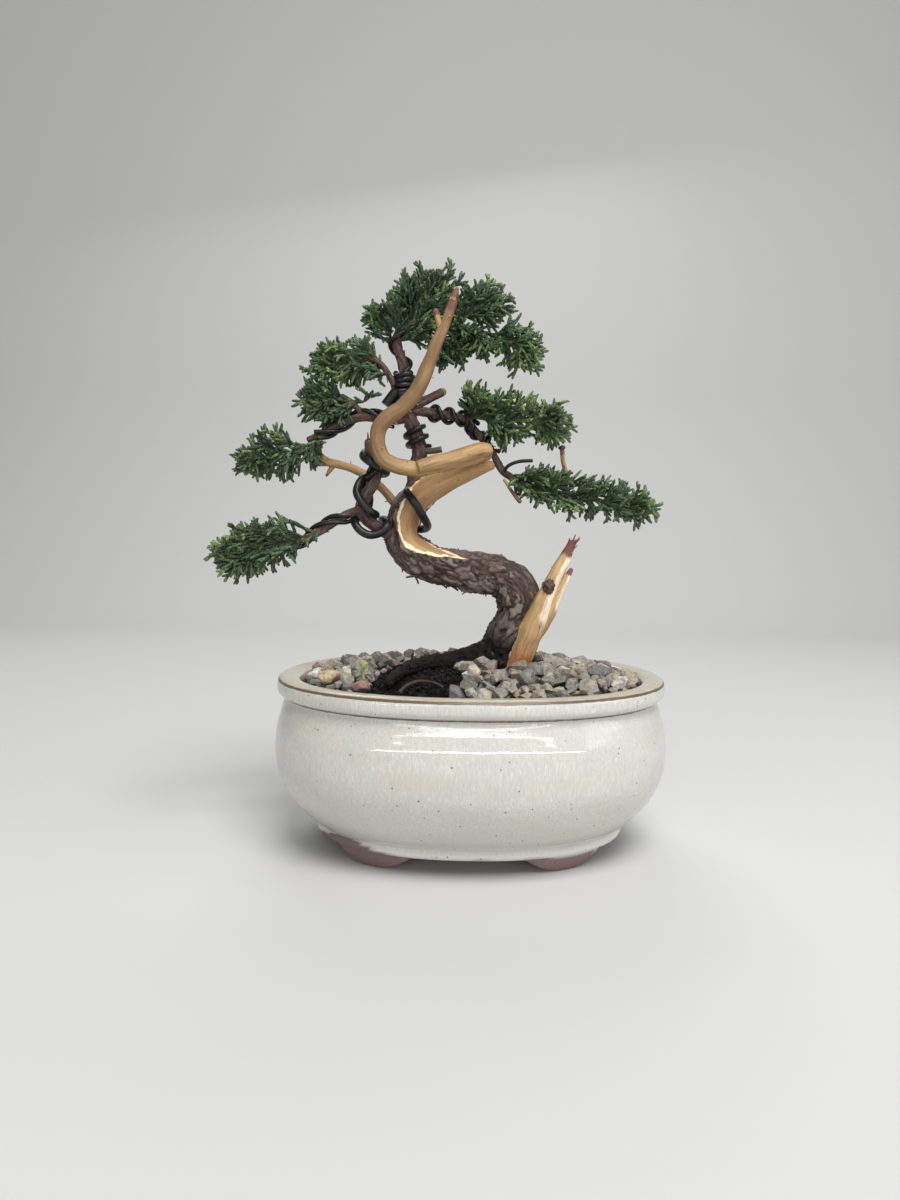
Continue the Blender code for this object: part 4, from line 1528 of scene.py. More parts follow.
    def combine(self, body: Object, tools: Sequence[tuple[Object, str]]) -> Object:
        """Apply Boolean joins and cuts, and remove the tools.

        Args:
            body: the mesh to work on.
            tools: other objects, each with UNION or DIFFERENCE.

        Returns:
            The finished object.
        """
        for tool, operation in tools:
            modifier = body.modifiers.new(operation, "BOOLEAN")
            modifier.operation = operation
            modifier.object = tool
        mesh = Maker.settled("pot_glazed", body, *(tool for tool, _ in tools))
        mesh.shade_smooth()
        mesh.set_sharp_from_angle(angle=math.radians(55.0))
        return Maker.add("pot_glazed", mesh)

    def zones(self, pot: Object) -> None:
        """Store where the clay is bare, where the glaze breaks, the painted shadow under the lip and where it
        is thick.

        Args:
            pot: the finished pot.
        """
        points = np.empty(len(pot.data.vertices) * 3, dtype=np.float32)
        pot.data.vertices.foreach_get("co", points)
        points = (points.reshape(-1, 3) - np.array(Maker.origin)) / MM
        x_side = points[:, 0]
        x, y, z = np.abs(x_side), np.abs(points[:, 1]), points[:, 2]
        low, high = np.full(len(x), self.inset + 0.01), np.full(len(x), 90.0)
        for _ in range(30):
            middle = (low + high) / 2.0
            inside = (x / middle) ** self.power + (y / (middle - self.inset)) ** self.power < 1.0
            high = np.where(inside, middle, high)
            low = np.where(inside, low, middle)
        reach = (low + high) / 2.0
        from_edge = np.hypot(reach - self.edge_line[0], z - self.edge_line[1])
        from_neck_shadow = np.hypot(reach - self.neck_shadow_line[0], z - self.neck_shadow_line[1])
        outside = reach > 58.9
        reaches, heights = zip(*reversed(self.outline[28:]))
        inner = np.interp(z, heights, reaches)
        cavity = (z > 11.0) & (z < 62.5) & (reach < inner + 1.6)
        drip = 0.4 * np.sin(x_side / 9.0) + 0.3 * np.sin(x_side / 3.7 + 1.0)
        drip += 3.4 * np.exp(-((x_side + 46.0) / 13.0) ** 2) * (points[:, 1] < 0.0)
        clay = np.clip((6.3 + drip - z) / 0.5, 0.0, 1.0)
        clay = np.where(cavity | ((z < 12.0) & ~outside), 1.0, clay)
        # edge: the glaze break on the lip, plus the painted shadow line under the lip at the neck
        edge = 1.25 * np.exp(-(from_edge / 0.70) ** 2) + 1.0 * np.exp(-(from_neck_shadow / 0.60) ** 2)
        lip = np.clip((z - 64.6) / 0.7, 0.0, 1.0)
        band = 0.8 * np.exp(-((z - 7.6) / 1.3) ** 2) * outside
        Maker.carry(pot, clay=clay, edge=edge * (1.0 - clay), lip=lip, band=band)

    def build(self) -> None:
        """Make the pot and dress it."""
        tools = [(self.foot(mirror_x, mirror_y), "UNION") for mirror_x in (-1, 1) for mirror_y in (-1, 1)]
        tools += [(self.drill(side * self.hole_x), "DIFFERENCE") for side in (-1, 1)]
        pot = self.combine(self.body(), tools)
        self.zones(pot)
        Maker.dress(pot, GlazeFinish().build(), "glazed_pot", "pot")


# --- stage

@dataclass
class Studio:
    """Camera, pale floor and soft light."""

    focal_length: float = 27.36
    camera_place: Point = (-0.36, -357.8, 121.5)
    pitch: float = 4.305           # degrees down
    yaw: float = 1.28              # degrees to the left
    roll: float = 0.572
    daylight: float = 0.29         # strength of the light from all round

    def camera(self) -> None:
        """The camera, at the height and tilt of an eye just above the pot."""
        data = bpy.data.cameras.new("camera")
        data.sensor_fit = "AUTO"
        data.sensor_width = 36.0
        data.lens = self.focal_length
        data.clip_start = 0.01
        camera = Maker.add("camera", data)
        turn = (Matrix.Rotation(math.radians(self.yaw), 4, "Z")
                @ Matrix.Rotation(math.radians(90.0 - self.pitch), 4, "X")
                @ Matrix.Rotation(math.radians(self.roll), 4, "Z"))
        camera.matrix_world = Matrix.Translation(Maker.place(self.camera_place)) @ turn
        bpy.context.scene.camera = camera

    def floor(self) -> None:
        """A pale sheet that curves up behind the plant."""
        depth, height, bend, half = 1.1, 1.6, 0.35, 2.4
        outline = [(-1.6, 0.0), (depth - bend, 0.0)]
        outline += [(depth - bend + bend * math.sin(a), bend - bend * math.cos(a))
                    for a in (math.radians(5.0 * k) for k in range(1, 19))]
        outline.append((depth, height))
        bm = bmesh.new()
        rows = [[bm.verts.new((x, y, z)) for x in (-half, half)] for y, z in outline]
        for near, far in zip(rows, rows[1:]):
            bm.faces.new((near[0], near[1], far[1], far[0]))
        floor = Maker.close("floor", bm)
        graph = ShaderGraph("pale_floor")
        graph.set(base_color=(0.60, 0.60, 0.59), roughness=0.85)
        floor.data.materials.append(graph.material)

    def lamp(self, name: str, place: Point, target: Point, size: Pair, power: float,
             colour: Colour) -> None:
        """A rectangular soft light aimed at a point; lengths are in metres.

        Args:
            name: the lamp's name.
            place: where it stands.
            target: what it shines on.
            size: its width and height.
            power: its power in watts.
            colour: its colour.
        """
        data = bpy.data.lights.new(name, "AREA")
        data.shape = "RECTANGLE"
        data.size, data.size_y = size
        data.energy = power
        data.color = colour
        lamp = Maker.add(name, data)
        lamp.location = place
        lamp.rotation_euler = (Vector(target) - Vector(place)).to_track_quat("-Z", "Y").to_euler()

    def light(self) -> None:
        """Soft daylight from above and in front, with a weak fill."""
        world = bpy.data.worlds.new("studio")
        world.use_nodes = True
        background = world.node_tree.nodes["Background"]
        background.inputs["Color"].default_value = (0.93, 0.96, 1.0, 1.0)
        background.inputs["Strength"].default_value = self.daylight
        bpy.context.scene.world = world
        aim = (0.0, 0.0, 0.11)
        self.lamp("key", (0.26, -0.66, 1.20), aim, (0.75, 0.55), 15.0, (1.0, 0.98, 0.95))
        self.lamp("window", (0.10, -1.20, 0.37), (0.0, 0.0, 0.05), (2.6, 0.012), 4.6, (0.97, 0.99, 1.0))
        self.lamp("sill", (0.05, -1.20, 0.47), (0.0, 0.0, 0.05), (1.6, 0.008), 0.9, (0.97, 0.99, 1.0))
        self.lamp("side", (0.95, -0.35, 0.55), aim, (0.6, 0.6), 2.2, (0.96, 0.98, 1.0))
        self.lamp("back", (-0.1, 0.80, 0.95), aim, (0.7, 0.5), 4.2, (1.0, 1.0, 1.0))
        bpy.context.scene.view_settings.view_transform = "Standard"

    def build(self) -> None:
        """Set everything up."""
        self.camera()
        self.floor()
        self.light()


# --- small repeated pieces

class Shape(Enum):
    """What a small repeated piece looks like."""

    CORDLET = "cordlet"            # a blunt, round, slightly bent rod
    FLAKE = "flake"                # a thin curled strip of bark


@dataclass(frozen=True)
class Sprig:
    """One small piece: where it is rooted, where it points and how big it is."""

    root: Vector
    aim: Vector
    out: Vector
    length: float
    girth: float
    tone: float = 0.5
    age: float = 0.0


@dataclass
class Sower:
    """Sets many small pieces of one shape with Geometry Nodes."""

    shape: Shape
    variants: int = 6
    seed: int = 9

    def cordlet(self, tree: GeometryTree, rng: random.Random) -> Socket:
        """A rod one unit long and one wide, with a blunt tip and a bend.

        Args:
            tree: the tree under construction.
            rng: the source of chance.

        Returns:
            The shape.
        """
        ball = tree.add("GeometryNodeMeshUVSphere", segments=6, rings=6, radius=1.0)
        x, y, z = self.axes(tree)
        along = tree.line(z, 0.5, 0.5)
        rest = tree.maths("MAXIMUM", tree.line(tree.times(z, z), -1.0, 1.0), 0.001)
        swell = tree.times(tree.maths("POWER", rest, -0.25), 0.5)
        swell = tree.times(swell, tree.line(along, -0.14, 1.04))
        bend = tree.times(tree.times(along, along), rng.uniform(-1.3, 1.3))
        place = tree.add("ShaderNodeCombineXYZ", x=tree.line(x, swell, bend),
                         y=tree.times(y, swell), z=along)
        return tree.add("GeometryNodeSetPosition", geometry=ball.outputs["Mesh"], position=place).outputs[0]

    def flake(self, tree: GeometryTree, rng: random.Random) -> Socket:
        """A strip one unit long and one wide that curls off the bark.

        Args:
            tree: the tree under construction.
            rng: the source of chance.

        Returns:
            The shape.
        """
        card = tree.add("GeometryNodeMeshCube", size=(1.0, 0.16, 1.0), vertices_x=3, vertices_y=2,
                        vertices_z=5)
        x, y, z = self.axes(tree)
        along = tree.plus(z, 0.5)
        narrow = tree.line(tree.times(along, along), -rng.uniform(0.4, 0.85), 1.0)
        lift = tree.times(tree.times(along, along), rng.uniform(0.2, 1.0))
        arch = tree.times(tree.times(x, x), -0.8)
        skew = tree.times(along, rng.uniform(-0.5, 0.5))
        place = tree.add("ShaderNodeCombineXYZ", x=tree.line(x, narrow, skew),
                         y=tree.plus(tree.plus(y, lift), arch), z=along)
        return tree.add("GeometryNodeSetPosition", geometry=card.outputs["Mesh"], position=place).outputs[0]

    @staticmethod
    def axes(tree: GeometryTree) -> tuple[Socket, ...]:
        """The three coordinates of each point.

        Args:
            tree: the tree under construction.

        Returns:
            X, Y and Z.
        """
        place = tree.tree.nodes.new("GeometryNodeInputPosition")
        parts = tree.add("ShaderNodeSeparateXYZ", vector=place.outputs[0])
        return tuple(parts.outputs)

    def sow(self, name: str, sprigs: Sequence[Sprig], material: Material) -> Object:
        """Set a piece for each sprig.

        Args:
            name: the new object's name.
            sprigs: where the pieces go.
            material: their material.

        Returns:
            One mesh object with them all.
        """
        lists = {key: [getattr(sprig, key) for sprig in sprigs]
                 for key in ("aim", "out", "length", "girth", "tone", "age")}
        guide = scatter_guide(f"{name}_guide", [sprig.root for sprig in sprigs], **lists)
        tree = GeometryTree(f"{name}_{self.shape.value}", material)
        scale = tree.size("Scale")
        rng = random.Random(self.seed)
        make = self.cordlet if self.shape is Shape.CORDLET else self.flake
        shapes = [make(tree, rng) for _ in range(self.variants)]
        wide = tree.times(tree.stored("girth"), scale)
        long = tree.times(tree.stored("length"), scale)
        size = tree.add("ShaderNodeCombineXYZ", x=wide, y=wide, z=long)
        align = "FunctionNodeAlignRotationToVector"
        aimed = tree.add(align, {"axis": "Z"}, vector=tree.stored("aim", "FLOAT_VECTOR"))
        rolled = tree.add(align, {"axis": "Y", "pivot_axis": "Z"}, rotation=aimed,
                          vector=tree.stored("out", "FLOAT_VECTOR"))
        choice = tree.chance(0, self.variants - 1, self.seed, "INT")
        placed = tree.add("GeometryNodeInstanceOnPoints", points=tree.guide, instance=tree.group(shapes),
                          pick_instance=True, instance_index=choice, rotation=rolled, scale=size)
        tree.finish(placed)
        return tree.grow(name, guide, Scale=MM)


# --- limbs

class Surface(Enum):
    """What covers a limb."""

    BARK = "bark"
    WOOD = "wood"


@dataclass
class Limb:
    """A branch or a deadwood limb, swept along its stations with its own relief."""

    name: str
    stations: tuple[Station, ...]
    surface: Surface
    sides: int = 32
    relief: float = 0.28           # height of ridges, mm
    tip: float = 0.0               # share of the length that is dark red at the end
    base: float = 0.0              # share of the length that is orange at the start
    torn: float = 0.0              # how much of the start is cream on the side towards the trunk
    shabby: float = 0.0            # flakes for each millimetre of length
    damp: float = 0.0              # how wet it looks
    dull: float = 0.0              # painted shade: how much darker its far part is

    def __post_init__(self) -> None:
        """Lay the centre line."""
        self.spine = Spine(self.stations, 0.6)
        self.seed = sum(map(ord, self.name)) % 97

    def thickness(self, i: int, angle: float) -> float:
        """The radius at a point of the line and an angle.

        Args:
            i: the point.
            angle: the angle in radians.

        Returns:
            The radius in millimetres.
        """
        run, radius, seed = self.spine.runs[i], self.spine.radii[i], self.seed
        lumps = 0.13 * round_noise(angle, run, 0.9, 5.5, seed)
        if self.surface is Surface.WOOD:
            ridge = 0.5 * round_noise(angle, run, 2.6, 17.0, 0.0, seed)
            ridge += 0.3 * round_noise(angle, run, 6.0, 11.0, seed)
        else:
            ridge = 0.9 * (0.4 - abs(round_noise(angle, run, 2.4, 5.0, seed)))
            ridge += 0.5 * round_noise(angle, run, 5.5, 2.2, 0.0, seed)
        return max(0.25, radius * (1.0 + lumps) + self.relief * ridge * min(1.0, radius / 2.0))

    def marks(self, obj: Object) -> None:
        """Store the grain coordinates and where the wood is coloured.

        Args:
            obj: the limb's mesh object.
        """
        spine, grain, end, resin, torn, dull = self.spine, [], [], [], [], []
        for i in range(len(spine)):
            share = spine.runs[i] / spine.length
            for k in range(self.sides):
                angle = math.tau * k / self.sides
                reach = spine.radii[i]
                grain.append((math.cos(angle) * reach + self.seed, math.sin(angle) * reach, spine.runs[i]))
                end.append(smoothstep(1.0 - 1.4 * self.tip, 1.0 - 0.4 * self.tip, share) if self.tip else 0.0)
                resin.append(1.0 - smoothstep(0.0, self.base, share) if self.base else 0.0)
                facing = spine.outward(i, angle).x
                left = 0.55 * max(0.0, -facing) * (1.0 - smoothstep(0.35, 0.60, share))
                right = (0.40 + 0.75 * facing) * smoothstep(0.22, 0.50, share)
                torn.append(self.torn * max(0.0, left + right))
                # painted shade from dull on a limb's far part; damp is the real wetness of the roots
                dull.append(max(self.damp, self.dull * smoothstep(0.26, 0.42, share)))
        Maker.carry(obj, grain=grain, end=end, resin=resin, torn=torn, wet=dull)

    def flakes(self, rng: random.Random) -> list[Sprig]:
        """Lifting flakes of bark along the limb.

        Args:
            rng: the source of chance.

        Returns:
            The flakes.
        """
        sprigs = []
        for _ in range(round(self.shabby * self.spine.length)):
            share, angle = rng.uniform(0.02, 0.96), rng.uniform(0.0, math.tau)
            centre, tangent, radius = self.spine.at(share)
            out = self.spine.outward(self.spine.index(share), angle)
            aim = (tangent * rng.choice((-1.0, 1.0)) + out * rng.uniform(0.0, 0.35)).normalized()
            sprigs.append(Sprig(centre + out * (radius - 0.1), aim, out, rng.uniform(1.2, 3.2),
                                rng.uniform(0.5, 1.1), rng.random()))
        return sprigs

    def build(self, material: Material, slot: str, *nodes: str) -> Object:
        """Make and dress the limb.

        Args:
            material: its material.
            slot: the record's slot.
            nodes: the CAD nodes it replaces.

        Returns:
            The object.
        """
        obj = self.spine.skin(f"{self.name}_limb", self.sides, self.thickness)
        self.marks(obj)
        Maker.dress(obj, material, slot, *nodes)
        return obj


@dataclass
class Trunk:
    """The S-shaped trunk: shaggy bark, and a carved strip of bare wood that widens upwards."""

    stations: tuple[Station, ...] = (
        (13.4, 6, 52, 6), (13.2, 6, 62, 10.6), (13.4, 6, 70, 10.6), (15.2, 6, 78, 9.6),
        (17.8, 6, 85.6, 8.8), (19, 6, 93, 8.6), (17.2, 5, 99, 8.3), (12.6, 5, 103, 7.8),
        (6.5, 4, 104.8, 7.6), (-1, 3, 106.2, 7.4), (-9, 2, 107.4, 7.2), (-16.6, 2, 109.6, 7.1),
        (-22.6, 2, 112.6, 7), (-26.6, 2, 117, 6.6), (-27.4, 2, 122.6, 6.3), (-25.6, 2, 128.4, 6.4),
        (-22, 2, 133.4, 6.1), (-16.4, 3, 138, 5.7), (-9.4, 4, 141.8, 5), (-2.4, 5, 144.8, 3.9),
        (4.2, 6, 147, 2.7), (8.8, 6.6, 147.8, 1.3))
    strip: tuple[Point, ...] = (     # share, middle and half-width in degrees
        (0.455, 226, 0), (0.50, 232, 8), (0.55, 240, 26), (0.60, 245, 44), (0.65, 238, 54),
        (0.70, 228, 62), (0.75, 222, 74), (0.80, 212, 98), (0.86, 200, 130),
        (0.92, 190, 190), (1, 190, 200))
    sides: int = 104
    hollow: float = 0.75           # how deep the strip lies below the bark
    flakes: int = 240

    def __post_init__(self) -> None:
        """Lay the centre line."""
        self.spine = Spine(self.stations, 0.45)

    def depth_in_strip(self, share: float, angle: float) -> float:
        """Degrees inside the strip's edge, below 0 outside it.

        Args:
            share: how far up the trunk.
            angle: the angle in radians.

        Returns:
            The depth in degrees.
        """
        middle, half = (float(np.interp(share, [s[0] for s in self.strip], [s[k] for s in self.strip]))
                        for k in (1, 2))
        if share < self.strip[0][0]:
            return -90.0
        away = abs((math.degrees(angle) - middle + 180.0) % 360.0 - 180.0)
        run = share * self.spine.length
        ragged = 6.0 * round_noise(angle, run, 3.0, 3.5) + 3.0 * round_noise(angle, run, 8.0, 1.6)
        return half + (ragged if half > 3.0 else 0.0) - away

    @staticmethod
    def plates(angle: float, run: float) -> Pair:
        """How far a point of the bark is from a crack, and how high its plate lies.

        Args:
            angle: the angle in radians.
            run: how far up, in millimetres.

        Returns:
            0 in a crack to 1 on a plate, and -1 to 1.
        """
        c, s = math.cos(angle), math.sin(angle)
        warp = 0.6 * round_noise(angle, run, 1.5, 6.0) + 0.40 * round_noise(angle, run, 4.0, 2.4)
        flat, step = plate_at(c * 2.2 + warp, s * 2.2 - warp, run / 11.0 + 0.8 * warp)
        flat = min(1.0, flat + 0.5 * smoothstep(0.0, 0.35, round_noise(angle, run, 1.7, 7.0, 5.0)))
        groove = smoothstep(0.08, 0.02, abs(round_noise(angle, run, 1.5, 17.0, 9.0 + 0.3 * warp)))
        return min(flat, 1.0 - groove), step

    def thickness(self, i: int, angle: float) -> float:
        """The radius at a point of the line and an angle.

        Args:
            i: the point.
            angle: the angle in radians.

        Returns:
            The radius in millimetres.
        """
        spine, run, radius = self.spine, self.spine.runs[i], self.spine.radii[i]
        share = run / spine.length
        bare = smoothstep(-5.0, 6.0, self.depth_in_strip(share, angle))
        flat, step = self.plates(angle, run)
        bark = 0.95 * (flat - 0.70) + 0.75 * step + 0.60 * round_noise(angle, run, 1.9, 6.0)
        bark += 0.70 * (0.32 - abs(round_noise(angle, run, 2.4, 7.0, 4.0)))
        bark += 0.34 * round_noise(angle, run, 5.0, 2.8, 0.0, 9.0) + 0.15 * round_noise(angle, run, 12.0, 1.3)
        wood = 0.35 * round_noise(angle, run, 1.8, 15.0) + 0.12 * round_noise(angle, run, 6.0, 9.0)
        sunk = self.hollow * (1.0 - smoothstep(0.84, 0.93, share))
        height = spine.centres[i].z
        flare = 1.6 * (1.0 - smoothstep(62.0, 76.0, height)) * max(0.0, math.cos(3.0 * angle + 0.6))
        lumps = 0.10 * round_noise(angle, run, 0.8, 11.0, 3.0) * radius
        return radius + lumps + flare + bark * (1.0 - bare) + (wood - sunk) * bare

    def marks(self, obj: Object) -> None:
        """Store the grain coordinates, the strip, its torn edge, the wet foot and the painted shade in the
        cracks.

        Args:
            obj: the trunk's mesh object.
        """
        spine, grain, bare, torn, wet, resin = self.spine, [], [], [], [], []
        crack, plate = [], []
        for i, centre in enumerate(spine.centres):
            share = spine.runs[i] / spine.length
            for k in range(self.sides):
                angle = math.tau * k / self.sides
                inside = self.depth_in_strip(share, angle)
                out = spine.outward(i, angle)
                grain.append((math.cos(angle) * 7.0, math.sin(angle) * 7.0, spine.runs[i]))
                bare.append(smoothstep(-5.0, 5.0, inside))
                flat, step = self.plates(angle, spine.runs[i])
                # crack: painted shade in the cracks between plates, where the skin is sunk
                crack.append(0.80 * (1.0 - smoothstep(0.0, 0.45, flat)))
                plate.append(min(0.75, max(0.0, 0.9 * step) * flat))
                edge = math.exp(-((inside - 7.0) / 6.0) ** 2) if inside > -8.0 else 0.0
                torn.append(edge * (1.0 - smoothstep(0.86, 0.92, share)) * (1.0 if out.z < 0.6 else 0.7))
                resin.append(0.4 * smoothstep(0.60, 0.50, share))
                lower = centre.z + out.z * spine.radii[i]
                lower += 2.5 * noise_at(out.x * 2.0, out.y * 2.0, centre.z / 5.0)
                left = 3.0 * max(0.0, -out.x)
                wet.append(0.96 * (1.0 - smoothstep(74.0 + left, 87.0 + left, lower)))
        Maker.carry(obj, grain=grain, bare=bare, torn=torn, wet=wet, resin=resin, crack=crack, plate=plate)

    def shreds(self) -> list[Sprig]:
        """Lifting strips of bark, most of them below the bends."""
        rng = random.Random(77)
        sprigs = []
        while len(sprigs) < self.flakes:
            share, angle = rng.uniform(0.10, 0.90), rng.uniform(0.0, math.tau)
            if self.depth_in_strip(share, angle) > -4.0:
                continue
            place = self.spine.index(share)
            centre, tangent, _ = self.spine.at(share)
            out = self.spine.outward(place, angle)
            if rng.random() > 0.45 + 0.55 * max(0.0, -out.z):
                continue
            reach = self.thickness(place, angle)
            side = tangent.cross(out) * rng.uniform(-0.3, 0.3)
            under = max(0.0, -out.z) * smoothstep(0.30, 0.40, share) * smoothstep(0.75, 0.6, share)
            aim = tangent * rng.choice((-1.0, 1.0)) + out * rng.uniform(0.0, 0.3 + 0.4 * under) + side
            small = rng.random() ** 2
            sprigs.append(Sprig(centre + out * (reach - 0.35), aim.normalized(), out,
                                1.4 + (2.2 + 3.0 * under) * small, rng.uniform(0.9, 2.3), rng.random()))
        return sprigs

    def build(self, material: Material, bark: Material) -> None:
        """Make and dress the trunk and its flakes.

        Args:
            material: bark with the bare strip.
            bark: plain bark, for the flakes.
        """
        obj = self.spine.skin("trunk_shaggy", self.sides, self.thickness)
        self.marks(obj)
        Maker.dress(obj, material, "bark", "trunk")
        flakes = Sower(Shape.FLAKE).sow("trunk_flakes", self.shreds(), bark)
        Maker.dress(flakes, None, "bark")


LOWER_JIN = (
    (16.5, -1, 66, 4.8), (20, -1, 74, 4.9), (23.6, -0.8, 83, 4.8), (27.4, -0.4, 92, 4),
    (31, 0, 100.4, 3.2), (35.5, 0.4, 109.8, 2.4), (39.6, 0.6, 118.6, 1.4))
LONG_JIN = (
    (6.2, 0.8, 151.8, 2.4), (2.6, -1.8, 152, 3.2), (-1.1, -4, 150.2, 3.3), (-8.7, -8, 147.4, 3),
    (-15, -11, 146, 2.9), (-21.7, -13, 144.8, 2.9), (-27.6, -15, 145.4, 2.9),
    (-32.8, -16, 147.6, 2.9), (-35.3, -16, 152.5, 2.9), (-35.3, -16, 158.5, 2.9),
    (-32.8, -16, 162.5, 2.9), (-27.3, -15, 166.7, 2.9), (-22.2, -14, 172.3, 2.8),
    (-19.4, -14, 176.8, 2.7), (-17, -13, 183.2, 2.5), (-14.2, -13, 190.5, 2.3),
    (-11.3, -12, 197.6, 2.1), (-9.4, -12, 202.8, 1.9), (-7.8, -12, 207.9, 1.7))
LEFT_JIN = (
    (-26, 4, 128, 1.7), (-29.4, 5, 131, 1.7), (-34.2, 7, 136.4, 1.7), (-38.1, 8, 140.1, 1.7),
    (-42.6, 8, 143.6, 1.7), (-47, 8, 145.6, 1.7), (-51.4, 8, 147.1, 1.6),
    (-55.2, 7, 148, 1.6), (-58.8, 7, 148.5, 1.6), (-62.2, 6, 148.4, 1.7))
LEADER = (
    (-23.6, 5, 136, 3), (-22.2, 8.6, 145.8, 3), (-21.4, 10, 153, 2.8), (-22.8, 10, 159.3, 2.7),
    (-24.9, 10, 165.3, 2.6), (-27.4, 9, 171.2, 2.5), (-28.8, 9, 175.3, 2.4), (-27.6, 8, 181, 2.1),
    (-27.8, 8, 186.5, 1.9), (-30, 8, 192.7, 1.8), (-30.2, 7, 197.9, 1.6), (-27.7, 7, 203, 1.5))
LEFT_UPRIGHT = (
    (-28, 1, 118.5, 2.4), (-33.4, -1, 120.8, 2.4), (-37.4, -3, 123.2, 2.3), (-41.4, -4, 126.6, 2.3),
    (-42.8, -5, 130.4, 2.3), (-41, -5, 135, 2.3), (-38, -5, 140.2, 2.2), (-37.2, -5, 144.6, 2),
    (-38.4, -5, 149, 1.8), (-39.6, -5, 153.1, 1.8), (-40, -5, 156.8, 2))
LOWER_LEFT = (
    (-42.6, -5, 129.8, 1.7), (-46.3, -5.8, 128.4, 1.7), (-50, -6.8, 126.4, 1.7), (-54.5, -8, 123.6, 1.6),
    (-59.7, -9, 120.2, 1.5), (-65.7, -10, 117.4, 1.3), (-72, -11, 115.8, 1.1))
MIDDLE_LEFT = (
    (-25, 9.6, 166.6, 1.8), (-31, 9, 165.6, 1.8), (-37.8, 7, 166, 1.8), (-43.9, 5, 166, 1.7),
    (-49.7, 4, 164.2, 1.5), (-54.2, 3, 161.9, 1.4), (-59.2, 2, 159, 1.3), (-65, 1, 156.4, 1.1))
RIGHT_UPPER = (
    (-24.6, 9.8, 169, 1.8), (-19, 9.4, 168.8, 1.8), (-13, 9.2, 167.8, 1.7), (-7, 9, 166.8, 1.6),
    (-2.6, 9, 165.6, 1.5), (0.4, 8.8, 162, 1.4), (4, 8.4, 157.8, 1.4), (7.4, 7.8, 153.6, 1.4),
    (9.6, 7.4, 149.4, 1.4), (11.8, 7, 145.6, 1.4), (15.6, 6.2, 142.8, 1.3), (21, 5, 140.6, 1.1))


